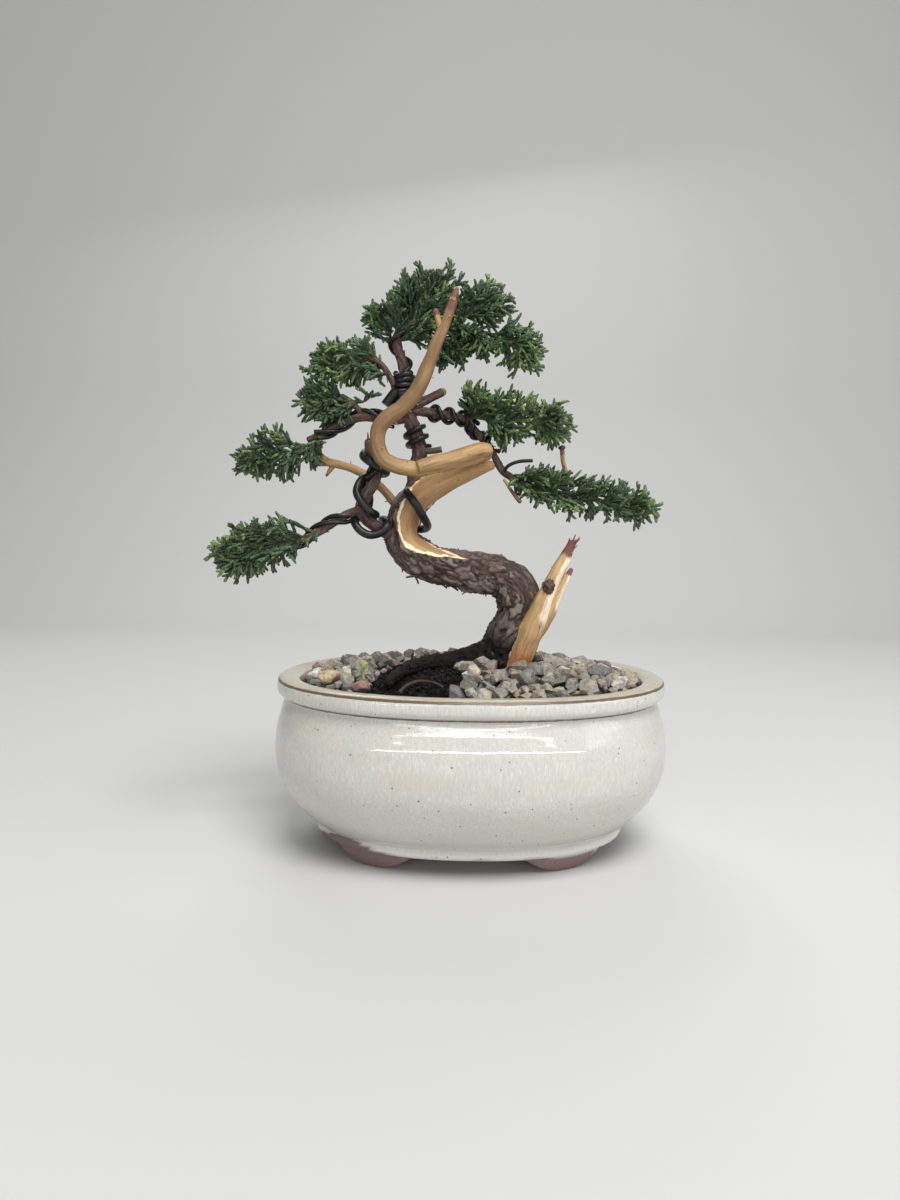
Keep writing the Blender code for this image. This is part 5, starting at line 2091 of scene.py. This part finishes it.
@dataclass
class Deadwood:
    """The carved bare limbs, with their splinters, prongs and knots."""

    def limbs(self) -> list[Limb]:
        """The bare limbs that the record names."""
        wood = Surface.WOOD
        fork = ((-12.3, -12, 196, 1.3), (-13.6, -13, 200.3, 1.2), (-14.8, -13.8, 203.6, 1.15))
        twig = ((37, 6, 144.9, 0.9), (35.6, 6, 149.2, 0.8), (35.1, 6, 154.3, 1))
        return [Limb("deadwood_lower_jin", LOWER_JIN, wood, 56, 0.9, tip=0.14, base=0.36, torn=1.0),
                # painted shade: dull darkens the long jin from its loop on
                Limb("deadwood_long_jin", LONG_JIN, wood, 44, 0.50, tip=0.05, dull=0.60),
                Limb("deadwood_jin_fork", fork, wood, 24, 0.2, tip=0.35),
                Limb("deadwood_left_jin", LEFT_JIN, wood, 30, 0.35, tip=0.04),
                Limb("dead_twig", twig, wood, 20, 0.15, tip=0.30)]

    def prongs(self) -> list[Limb]:
        """Short side prongs and stubs that belong to the bare limbs."""
        wood = Surface.WOOD
        second = ((26.6, -0.6, 82, 2.2), (30.6, -0.6, 90, 2.6), (34, -0.4, 97.4, 2.2), (37, -0.2, 103.4, 1.4),
                  (39.3, 0, 107.6, 0.7))
        hanging = ((12.4, 4, 142, 0.6), (15.4, 1, 137.2, 0.7), (18.8, -1.4, 132.8, 0.9))
        cut_face = ((-13.4, 9, 176, 1.5), (-12.4, 9, 176.5, 1.55), (-11, 9, 177.2, 1.5))
        arm = ((-20.8, -14.9, 145, 2.4), (-15.4, -12.9, 146.7, 2.9), (-8.7, -9.4, 148.5, 3.1),
               (-1.1, -5.4, 151.2, 3.3), (3, -3, 152.6, 3.2), (7.4, -0.6, 152.6, 2.6))
        rib = ((19.2, -4.6, 74, 1.1), (23.2, -4.2, 83, 1.2), (26.6, -3.4, 90, 0.8))
        up = ((-58, 6.8, 149.2, 1.2), (-60.4, 6.6, 151.2, 0.9), (-62.4, 6.4, 153.2, 0.5))
        down = ((-55.6, 7, 147, 1.1), (-57.2, 7, 144.8, 0.8), (-58.4, 7, 142.8, 0.4))
        shell = ((-8.4, -12.4, 206.6, 1.5), (-7.2, -12.2, 209.6, 1.2), (-6.4, -12, 211.8, 0.5))
        return [Limb("jin_second_prong", second, wood, 24, 0.45, tip=0.12, torn=1.0),
                # painted shade: dull darkens the hanging stub's lower part
                Limb("hanging_stub", hanging, wood, 18, 0.25, dull=0.85),
                Limb("stub_cut_face", cut_face, wood, 20, 0.1),
                Limb("jin_arm", arm, wood, 40, 0.5),
                Limb("jin_rib", rib, wood, 16, 0.3, torn=1.0),
                Limb("left_jin_up", up, wood, 14, 0.15),
                Limb("left_jin_down", down, wood, 14, 0.15, tip=0.3),
                Limb("jin_tip_shell", shell, wood, 18, 0.4, tip=0.9)]

    def knots(self, material: Material) -> None:
        """The dark knots where twigs once grew.

        Args:
            material: their bark.
        """
        for name, centre, size in (("jin_knot", (30.2, -3.0, 100.6), (2.3, 2.0, 2.7)),
                                   ("left_jin_knot", (-62.6, 5.6, 148.0), (1.6, 1.7, 1.9)),
                                   ("twig_knot", (35.1, 6.0, 154.8), (1.3, 1.2, 0.9))):
            bm = bmesh.new()
            bmesh.ops.create_icosphere(bm, subdivisions=5, radius=1.0)
            for vert in bm.verts:
                vert.co *= 1.0 + 0.40 * noise.noise(vert.co * 1.9) + 0.20 * noise.noise(vert.co * 5.0)
            bmesh.ops.scale(bm, vec=Vector(size) * MM, verts=bm.verts)
            bmesh.ops.translate(bm, vec=Maker.place(centre), verts=bm.verts)
            knot = Maker.close(name, bm)
            Maker.carry(knot, grain=[tuple(v.co / MM) for v in knot.data.vertices])
            Maker.dress(knot, material, "deadwood")

    def splinters(self, limbs: Sequence[Limb]) -> list[Sprig]:
        """Small spikes along the limbs, and torn fibres at the lower jin's tip.

        Args:
            limbs: the limbs that carry them.

        Returns:
            The splinters.
        """
        rng = random.Random(5)
        sprigs = []
        for limb, count in zip(limbs, (10, 24, 0, 6, 0)):
            for _ in range(count):
                share, angle = rng.uniform(0.12, 0.93), rng.uniform(0.0, math.tau)
                centre, tangent, radius = limb.spine.at(share)
                out = limb.spine.outward(limb.spine.index(share), angle)
                aim = (out + tangent * rng.uniform(0.1, 0.7)).normalized()
                sprigs.append(Sprig(centre + out * (radius - 0.5), aim, tangent, rng.uniform(1.2, 2.1), 0.55))
        centre, tangent, _ = limbs[0].spine.at(0.94)
        for _ in range(26):
            lean = Vector([rng.uniform(-0.28, 0.28) for _ in range(3)])
            root = centre + lean * 3.4 - tangent * rng.uniform(0.0, 5.0)
            sprigs.append(Sprig(root, (tangent + lean).normalized(), lean.normalized(), rng.uniform(2.6, 5.2),
                                rng.uniform(0.35, 0.8), 0.5, 1.0))
        return sprigs

    def build(self) -> None:
        """Make and dress the deadwood: fresher at the lower jin, weathered above."""
        fresh = WoodFinish(light=(0.58, 0.385, 0.19), tan=(0.42, 0.255, 0.115)).build("fresh_wood")
        weathered = WoodFinish(light=(0.49, 0.315, 0.135), tan=(0.30, 0.168, 0.068),
                               streak=(0.145, 0.076, 0.034)).build("weathered_wood")
        limbs = self.limbs()
        for limb in limbs:
            limb.build(fresh if "lower" in limb.name else weathered, "deadwood", limb.name)
        for prong in self.prongs():
            prong.build(fresh if prong.torn else weathered, "deadwood")
        graph = ShaderGraph("splintered_wood")
        fade = graph.ramp(graph.noise(1.2), (0.35, (0.55, 0.38, 0.20)), (0.65, (0.40, 0.23, 0.10)))
        graph.set(base_color=graph.mix(graph.attribute("age"), fade, (0.20, 0.085, 0.06)), roughness=0.6)
        splinters = Sower(Shape.CORDLET, 4, 3).sow("jin_splinters", self.splinters(limbs), graph.material)
        Maker.dress(splinters, None, "deadwood")
        self.knots(BarkFinish(relief=0.8).build("knot_bark"))


@dataclass
class Branches:
    """The live leader, the side branches and the roots that show."""

    def limbs(self) -> list[Limb]:
        """The barked limbs."""
        bark = Surface.BARK
        upper_left = ((-28.4, 8.6, 175, 1.4), (-31.6, 6, 179.4, 1.3), (-34, 4.6, 183.4, 1.2),
                      (-37, 4.4, 187, 1.1), (-42, 5.6, 189.6, 1), (-47, 7, 189.8, 0.9))
        upper_left_low = ((-43, 5.4, 166.4, 1.3), (-45.6, 4.8, 169.4, 1.2), (-49, 5, 171.4, 1.1),
                          (-53, 5, 172.2, 0.9))
        right_twig = ((-3.4, 9.6, 165.9, 1.2), (2, 10, 167.4, 1.1), (8, 9.4, 168.2, 0.9))
        apex_twig = ((-29, 7.2, 200.4, 1.1), (-22, 9, 201.4, 1), (-14, 10, 201.2, 1),
                     (-5, 9, 199.4, 0.9), (4, 6, 196.8, 0.9), (12, 3, 193.6, 0.8))
        stub = ((-25, 9, 170, 1.9), (-21.3, 9, 172.2, 1.9), (-16.5, 9, 174.6, 1.7), (-11.4, 9, 177, 1.6))
        return [Limb("live_leader", LEADER, bark, 36, 0.8, shabby=1.6),
                Limb("branch_left_upright", LEFT_UPRIGHT, bark, 32, 0.45, shabby=1.2),
                Limb("branch_lower_left", LOWER_LEFT, bark, 24, 0.3, shabby=0.6),
                Limb("branch_middle_left", MIDDLE_LEFT, bark, 24, 0.35, shabby=0.9),
                Limb("branch_upper_left", upper_left, bark, 20, 0.25, shabby=0.3),
                Limb("branch_upper_left_low", upper_left_low, bark, 20, 0.3, shabby=0.8),
                Limb("branch_right", RIGHT_UPPER, bark, 26, 0.35, shabby=0.9),
                Limb("cut_stub", stub, bark, 24, 0.2),
                Limb("twig_right_upper", right_twig, bark, 18, 0.2),
                Limb("twig_apex", apex_twig, bark, 18, 0.2)]

    def roots(self) -> list[Limb]:
        """The surface root and the rootlet, black and wet."""
        bark = Surface.BARK
        left_root = ((14, 5, 77, 6), (8.6, 5.6, 74, 5.8), (2.6, 7, 71.2, 4.9), (-4.6, 8.4, 69.6, 4),
                     (-11.6, 7.6, 68.8, 3.2), (-17.6, 4, 68.6, 2.6), (-22.4, -4, 68.6, 2.2),
                     (-25.6, -14, 68.4, 1.9), (-28.4, -24, 67.5, 1.6), (-30, -32, 66.2, 1.3))
        rootlet = ((-25, -42, 65, 0.6), (-22.4, -38, 67, 0.6), (-18, -35.4, 68, 0.6),
                   (-13, -36, 67.6, 0.5), (-9.6, -38, 66.4, 0.5))
        return [Limb("root_left", left_root, bark, 44, 1.5, shabby=2.2, damp=0.93),
                Limb("fine_rootlet", rootlet, bark, 12, 0.15, damp=0.35)]

    def build(self, bark: Material) -> None:
        """Make and dress the branches and roots.

        Args:
            bark: the bark of old wood.
        """
        young = BarkFinish(brown=(0.118, 0.078, 0.064), grey=(0.27, 0.215, 0.18), redness=0.5, relief=0.6)
        reddish = young.build("young_bark")
        sodden = BarkFinish(dark=(0.006, 0.005, 0.005), brown=(0.022, 0.015, 0.012), grey=(0.05, 0.038, 0.03),
                            red=(0.03, 0.016, 0.012), relief=0.6).build("sodden_bark")
        sprigs: list[Sprig] = []
        wet_sprigs: list[Sprig] = []
        rng = random.Random(51)
        for limb in self.limbs() + self.roots():
            limb.build(bark if limb.damp or "left_upright" in limb.name else reddish, "bark", limb.name)
            if limb.damp:
                wet_sprigs += limb.flakes(rng)
            else:
                sprigs += limb.flakes(rng)
        Maker.dress(Sower(Shape.FLAKE).sow("branch_flakes", sprigs, reddish), None, "bark")
        Maker.dress(Sower(Shape.FLAKE).sow("root_flakes", wet_sprigs, sodden), None, "bark")


# --- wires

@dataclass
class Wires:
    """The black training wires that hold the branches."""

    trunk_radius: float = 1.6
    gap: float = 0.18
    trunk_step: float = 0.7
    step: float = 0.6
    route: tuple[Point, ...] = (           # from the cut end across the trunk, round its back, out and up
        (-25.6, -3.8, 136.6), (-22.4, -6.5, 132.6), (-19.5, -4.8, 128), (-17.9, -1, 125),
        (-17.6, 3, 123.2), (-19.4, 6.6, 122.3), (-24, 10, 122.2), (-30, 10.4, 123), (-34.2, 7.4, 124.2),
        (-35.4, 2, 125.8), (-33.4, -3.6, 125.4), (-32.6, -6.6, 123.4), (-35, -7.8, 120.8),
        (-39, -8.4, 119.8), (-42.4, -8.6, 121.2), (-44.6, -7.8, 123.6), (-45.3, -4.5, 125.6),
        (-43.4, -0.2, 126.6), (-40, 0.4, 127.2), (-37.4, -3.2, 127.6), (-38.6, -7.6, 128.4),
        (-40.4, -8.8, 130.2), (-42.4, -8.9, 132.4), (-44.2, -8, 135.8), (-43.8, -6.6, 138.8),
        (-42.4, -4.4, 141.4), (-40, -1.8, 142.8), (-36.4, -1.2, 143.4), (-33.6, -3.4, 143.6),
        (-33.8, -6.8, 144.4), (-36.6, -8.7, 146), (-39.8, -8.4, 148), (-42, -5.8, 150),
        (-41.4, -2.4, 151.8), (-38.4, -1.6, 153.2))

    def around(self, spine: Spine, radius: float, start: float, end: float, turns: float, *angles: float
               ) -> list[list[Vector]]:
        """Coils of a wire laid against a limb.

        Args:
            spine: the limb's centre line.
            radius: the wire's radius.
            start: where the coils start, as a share of the line.
            end: where they end.
            turns: how many turns each makes.
            angles: the angle at which each starts, in degrees.

        Returns:
            The route of each coil.
        """
        return [spine.coil(start, end, turns, angle, radius + self.gap) for angle in angles]

    def routes(self) -> list[tuple[str, str | None, list[tuple[float, int, Sequence]]]]:
        """The wires: name, the node each stands for, and radius, roundness and route of its parts."""
        upright, leader, right = Spine(LEFT_UPRIGHT), Spine(LEADER), Spine(RIGHT_UPPER)
        thick = self.around(leader, 1.15, 0.265, 0.375, 2.1, 250.0)
        thick_end = ((-19.2, 5.2, 153.0), (-16.8, 4.8, 153.0), (-14.4, 4.6, 153.3), (-12.3, 4.6, 153.7))
        climb = self.around(leader, 0.9, 0.66, 0.94, 1.3, 150.0)
        bundle = self.around(leader, 1.15, 0.48, 0.68, 2.6, 20.0, 130.0, 240.0)
        cut_end = ((-30.6, 4.4, 176.0), (-32.6, 4.0, 173.4), (-34.6, 3.8, 170.6))
        strands = self.around(right, 0.95, 0.12, 0.44, 1.7, 30.0, 210.0)
        strands += self.around(right, 1.0, 0.44, 0.66, 1.5, 170.0, 250.0)
        loose = ((12.4, 4.2, 145.4), (14.0, 3.0, 147.4), (18.0, 2.4, 149.0), (23.4, 2.0, 149.4))
        middle = self.around(Spine(MIDDLE_LEFT), 0.85, 0.16, 0.86, 1.2, 90.0, 160.0)
        lower = self.around(Spine(LOWER_LEFT), 0.85, 0.16, 0.92, 1.0, 90.0, 160.0)
        lower += self.around(upright, 0.85, 0.42, 0.84, 0.9, 250.0, 310.0)
        return [("heavy_wire", "wire_trunk", [(self.trunk_radius, 5, self.route)]),
                ("leader_wire_thick", "wire_leader_thick", [(1.15, 5, thick[0])]),
                ("leader_wire_end", None, [(1.3, 5, thick_end)]),
                ("leader_wires", "wire_leader",
                 [(0.9, 4, climb[0]), *((1.15, 4, coil) for coil in bundle), (1.9, 5, cut_end)]),
                ("right_wires", "wire_right_upper", [(0.95, 4, strand) for strand in strands]),
                ("right_loose_end", None, [(0.7, 4, loose)]),
                ("middle_wires", "wire_middle_left", [(0.85, 4, coil) for coil in middle]),
                ("lower_wires", "wire_lower_left", [(0.85, 4, coil) for coil in lower])]

    def build(self) -> None:
        """Make and dress the wires."""
        black = WireFinish().build("black_wire")
        bare = WireFinish(black=(0.085, 0.075, 0.045), scuffed=(0.15, 0.13, 0.08), wear=0.9)
        worn = bare.build("worn_wire")
        for name, node, parts in self.routes():
            step = self.trunk_step if node == "wire_trunk" else self.step
            pieces = [tube(name, route, radius, round_to, step) for radius, round_to, route in parts]
            finish = worn if name == "leader_wire_end" else black
            Maker.dress(joined(name, pieces), finish, "black_wire", *([node] if node else []))


# --- foliage

@dataclass
class Pad:
    """A cloud of scale foliage: a branchlet seen from the front and the tips that it reaches."""

    name: str
    depth: float                            # how far back its middle is
    thickness: float                        # half its depth from front to back
    stem: tuple[Pair, ...]   # X and Z along the branchlet
    tips: tuple[Pair, ...]   # X and Z of the outermost shoots
    root_depth: float | None = None
    fresh: float = 0.35                     # how fresh its green is
    fill: float = 1.0                       # share of the four inner layers that it has
    axis_piece: float = 5.5                 # length of one cordlet along a shoot
    side_gap: float = 3.3                   # how far apart the side cordlets stand

    def on_stem(self, share: float) -> Vector:
        """A place on the branchlet at a share of its length.

        Args:
            share: how far along, from 0 to 1.

        Returns:
            The place in millimetres.
        """
        start = self.depth if self.root_depth is None else self.root_depth
        points = [Vector((x, 0.0, z)) for x, z in self.stem]
        runs = [0.0]
        for a, b in zip(points, points[1:]):
            runs.append(runs[-1] + (b - a).length)
        run = min(1.0, max(0.0, share)) * runs[-1]
        x = float(np.interp(run, runs, [p.x for p in points]))
        z = float(np.interp(run, runs, [p.z for p in points]))
        return Vector((x, start + (self.depth - start) * min(1.0, 1.6 * share), z))

    def spring(self, tip: Vector) -> Vector:
        """Where on the branchlet the shoot to a tip starts: behind the nearest place.

        Args:
            tip: the shoot's tip.

        Returns:
            The place in millimetres.
        """
        shares = [k / 40.0 for k in range(41)]
        flat = Vector((tip.x, 0.0, tip.z))
        gaps = [(Vector((p.x, 0.0, p.z)) - flat).length for p in map(self.on_stem, shares)]
        nearest = min(range(41), key=gaps.__getitem__)
        length = sum((self.on_stem(a) - self.on_stem(b)).length for a, b in zip(shares, shares[1:]))
        return self.on_stem(shares[nearest] - 1.15 * gaps[nearest] / max(1.0, length))

    def shoots(self, rng: random.Random) -> list[tuple[Vector, Vector]]:
        """The shoots from front to back, each with its start and tip.

        Args:
            rng: the source of chance.

        Returns:
            Pairs of places.
        """
        pairs = []
        tips = [Vector((x, self.depth, z)) for x, z in self.tips]
        for tip in tips:
            near = tip + Vector((0.0, rng.uniform(-0.25, 0.25) * self.thickness, 0.0))
            start = self.spring(tip)
            pairs.append((start, start.lerp(near, 0.93)))
        count = len(tips)
        layers = ((0.82, -0.75), (0.82, 0.75), (0.64, -0.3), (0.60, 0.5))
        for reach, offset in layers[:max(2, round(4 * self.fill))]:
            for k in range(count):
                other = tips[(k + 1) % count]
                blend = rng.uniform(0.2, 0.8)
                aim = tips[k].lerp(other, blend) if (other - tips[k]).length < 14.0 else tips[k]
                start = self.spring(aim)
                tip = start.lerp(aim, reach * rng.uniform(0.85, 1.05))
                tip.y += offset * self.thickness * rng.uniform(0.6, 1.1)
                pairs.append((start, tip))
        for k in range(7):
            pairs.append((self.on_stem(k / 7.0), self.on_stem((k + 1.6) / 7.0)))
        return pairs

    def cordlets(self) -> list[Sprig]:
        """All the blunt cordlets of the pad."""
        rng = random.Random(self.name)
        sprigs: list[Sprig] = []
        for start, tip in self.shoots(rng):
            self.branch(sprigs, start, tip, rng)
        return sprigs

    def branch(self, sprigs: list[Sprig], start: Vector, tip: Vector, rng: random.Random) -> None:
        """Grow one shoot: a bending axis with side cordlets left and right of it.

        Args:
            sprigs: the list to add to.
            start: where the shoot starts.
            tip: where its last cordlet ends.
            rng: the source of chance.
        """
        way = tip - start
        length = way.length
        if length < 3.0:
            return
        forward = way.normalized()
        lie = Vector((rng.uniform(-0.5, 0.5), rng.uniform(-1.0, 1.0), rng.uniform(-0.3, 1.0)))
        sideways = forward.cross(lie)
        sideways = sideways.normalized() if sideways.length > 0.05 else forward.orthogonal().normalized()
        sag = forward.cross(sideways) * rng.uniform(-0.08, 0.08) * length
        tone = min(0.9, max(0.05, self.fresh + rng.gauss(0.0, 0.15)))

        def along(share: float) -> Vector:
            """A place on the shoot's axis."""
            return start + way * share + sag * math.sin(math.pi * share)

        pieces = max(1, round(length / self.axis_piece))
        for k in range(pieces):
            a, b = along(k / pieces), along((k + 1.12) / pieces)
            old = max(0.0, 0.42 - 1.2 * (k + 0.5) / pieces) if length > 9.0 else 0.0
            # painted shade: the shoot's axis, deep in the pad, is darker
            sprigs.append(Sprig(a, (b - a).normalized(), sideways, (b - a).length,
                                rng.uniform(1.2, 1.45) + 0.5 * old, tone * 0.8, old))
        count = max(2, round(length / self.side_gap))
        flip = rng.choice((-1.0, 1.0))
        for k in range(count):
            share = 0.24 + 0.70 * (k + rng.uniform(0.0, 0.6)) / count
            flip = -flip
            angle = math.radians(rng.uniform(25.0, 46.0))
            lean = (sideways * flip + forward.cross(sideways) * rng.uniform(-0.45, 0.45)).normalized()
            aim = forward * math.cos(angle) + lean * math.sin(angle)
            size = (8.8 - 3.8 * share) * rng.uniform(0.75, 1.2) * min(1.0, length / 9.0)
            # painted shade: side cordlets darker near the axis, fresher towards the tip
            self.side_cordlet(sprigs, along(share), aim, lean, size, tone + 0.55 * share - 0.22, rng)

    def side_cordlet(self, sprigs: list[Sprig], root: Vector, aim: Vector, lean: Vector, size: float,
                     tone: float, rng: random.Random) -> None:
        """Add a side cordlet, forked if it is long enough.

        Args:
            sprigs: the list to add to.
            root: where it starts.
            aim: where it points.
            lean: the side it leans to.
            size: its length in millimetres.
            tone: how light its green is, from painted shade near the axis to fresh at the tips.
            rng: the source of chance.
        """
        tone = min(0.95, max(0.05, tone + rng.gauss(0.0, 0.13)))
        sprigs.append(Sprig(root, aim, lean, size, rng.uniform(1.2, 1.5), tone))
        if size < 4.2:
            return
        for share, side in ((0.34, 1.0), (0.58, -1.0)):
            if rng.random() < 0.5:
                continue
            turn = aim.cross(aim.cross(lean)).normalized() * side
            fork = (aim * 0.82 + turn * 0.58).normalized()
            sprigs.append(Sprig(root + aim * size * share, fork, lean, size * rng.uniform(0.42, 0.60),
                                rng.uniform(1.15, 1.35), min(1.0, tone + 0.12)))

    def build(self, material: Material) -> None:
        """Make and dress the pad."""
        pad = Sower(Shape.CORDLET, 7, 21).sow(f"{self.name}_sprays", self.cordlets(), material)
        Maker.dress(pad, None, "foliage", self.name)


PADS = (
    Pad("foliage_apex_left", 14.0, 6.0, ((-31, 193), (-33, 197), (-35, 204), (-38, 208)), ((-44, 207),
        (-43, 212), (-39, 211), (-36, 212), (-32, 214), (-42, 200)), 8.0, 0.32, 0.7),
    Pad("foliage_apex_top_left", 6.0, 10.0, ((-30, 196), (-26, 202), (-21, 208), (-17, 215)), ((-32, 212),
        (-30, 218), (-28, 223), (-24, 222), (-20, 225), (-17, 223), (-13, 225), (-7, 225), (-2, 222),
        (-8, 215), (-10, 209), (-13, 203), (-17, 199)), 7.0, 0.30),
    Pad("foliage_apex_top_right", 6.0, 10.0, ((-17, 198), (-9, 203), (-1, 208), (6, 212)), ((-5, 216),
        (0, 218), (8, 221), (11, 215), (16, 212), (16, 210), (17, 207), (10, 202), (3, 197), (-2, 200)),
        9.0, 0.32),
    Pad("foliage_apex_right", 1.0, 8.0, ((-2, 201), (6, 198), (14, 194), (20, 189)), ((18, 200),
        (24, 199), (27, 194), (28, 189), (27, 184), (20, 183), (14, 186), (10, 191), (5, 188)), 7.0,
        0.38),
    Pad("foliage_apex_middle", 8.0, 7.0, ((-17, 200), (-12, 196), (-8, 192)), ((-18, 195), (-15, 186),
        (-11, 185), (-9, 188), (-2, 190), (0, 196), (-2, 188)), 9.0, 0.22, 0.7),
    Pad("foliage_upper_left_top", 7.0, 9.0, ((-34, 183), (-38, 189), (-47, 188), (-59, 187)), ((-49, 197),
        (-44, 195), (-54, 195), (-58, 195), (-61, 194), (-63, 191), (-65, 187), (-68, 183), (-61, 181),
        (-55, 179), (-50, 181), (-46, 181), (-41, 182)), 5.0, 0.48, 0.8),
    Pad("foliage_upper_left_low", 5.0, 8.0, ((-43, 172), (-50, 172), (-60, 172)), ((-40, 176), (-56, 177),
        (-68, 180), (-69, 177), (-66, 175), (-68, 174), (-73, 172), (-69, 169), (-68, 167), (-65, 165),
        (-61, 161), (-59, 163), (-56, 163)), 5.0, 0.25, 0.7),
    Pad("foliage_middle_left", 1.0, 8.0, ((-61, 157), (-68, 153), (-79, 150), (-87, 149)), ((-80, 160),
        (-83, 158), (-87, 155), (-90, 152), (-92, 149), (-93, 147), (-91, 144), (-88, 143), (-83, 142),
        (-76, 142), (-72, 144), (-65, 147), (-60, 153)), 2.0, 0.34, 0.8),
    Pad("foliage_lower_left", -12.0, 9.0, ((-56, 123), (-63, 119), (-73, 116), (-90, 112)), ((-74, 126),
        (-85, 125), (-85, 123), (-89, 123), (-92, 122), (-95, 118), (-100, 115), (-101, 112), (-100, 109),
        (-97, 106), (-94, 104), (-92, 102), (-85, 105), (-80, 107), (-77, 108), (-69, 112)), -9.0, 0.36,
        0.8),
    Pad("foliage_right_upper", 6.0, 11.0, ((-1, 167), (9, 165), (20, 165), (32, 165)), ((-2, 180),
        (0, 179), (-3, 172), (6, 177), (10, 175), (17, 177), (21, 175), (25, 173), (31, 172), (34, 171),
        (37, 167), (40, 164), (39, 160), (36, 157), (29, 158), (18, 157), (15, 156), (10, 161)), 9.0,
        0.52),
    Pad("foliage_right_lower", 3.0, 10.0, ((12, 146), (17, 142), (28, 138), (50, 133), (66, 131)),
        ((23, 145), (28, 146), (34, 145), (38, 145), (47, 143), (53, 142), (57, 141), (63, 139),
        (69, 137), (68, 134), (75, 132), (71, 128), (66, 127), (61, 127), (54, 128), (46, 128), (40, 129),
        (31, 131), (27, 133), (22, 135), (16, 140)), 6.0, 0.40))


@dataclass
class Foliage:
    """All the pads of foliage."""

    pads: tuple[Pad, ...] = PADS

    def build(self) -> None:
        """Make and dress them."""
        material = FoliageFinish().build()
        for pad in self.pads:
            pad.build(material)


@dataclass
class Sprout:
    """The yellow-green shoot at the edge of the bare patch."""

    stem: tuple[Station, ...] = (
        (-38.6, -30, 65.2, 0.7), (-39, -30.4, 69, 0.65), (-38.6, -30.8, 72.6, 0.5))

    def build(self) -> None:
        """Make and dress the sprout and its leaves."""
        material = ShootFinish().build()
        spine = Spine(self.stem, 0.4)
        stem = spine.skin("sprout_stem", 14, lambda i, angle: spine.radii[i])
        Maker.dress(stem, material, "fresh_shoot", "sprout")
        rng = random.Random(2)
        leaves = []
        for k in range(9):
            centre, tangent, _ = spine.at(0.45 + 0.06 * k)
            out = spine.outward(min(len(spine) - 1, int((0.45 + 0.06 * k) * len(spine))), 2.4 * k)
            aim = (tangent * 0.8 + out * 0.7).normalized()
            leaves.append(Sprig(centre, aim, out, rng.uniform(1.8, 3.0), 0.8))
        Maker.dress(Sower(Shape.CORDLET, 3, 4).sow("sprout_leaves", leaves, material), None, "fresh_shoot")


def dress_fittings() -> None:
    """Give the nets and clips under the soil their own finishes."""
    net = FittingFinish((0.016, 0.017, 0.018), 0.0, 0.45).build("net_plastic")
    steel = FittingFinish((0.10, 0.10, 0.11), 0.8, 0.38).build("clip_steel")
    for piece in bpy.data.objects:
        if piece.type == "MESH" and piece.name.startswith(("drainage_mesh", "mesh_clip")):
            for slot in piece.material_slots:
                slot.material = net if piece.name.startswith("drainage") else steel


def main() -> None:
    """Build every piece in order."""
    logging.basicConfig(level=logging.INFO, format="%(name)s %(message)s")
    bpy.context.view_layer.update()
    Maker.settle()
    Studio().build()
    Pot().build()
    ground = Ground()
    Soil(ground).build()
    Gravel(ground).build()
    bark = BarkFinish(relief=0.8)
    wood = WoodFinish()
    old_bark = bark.build("old_bark")
    trunk = Trunk()
    trunk.build(wood.build_stripped(bark), old_bark)
    Deadwood().build()
    Branches().build(old_bark)
    Wires().build()
    Foliage().build()
    Sprout().build()
    dress_fittings()
    LOG.info("%d pieces", Maker.count)


if __name__ == "__main__":
    main()
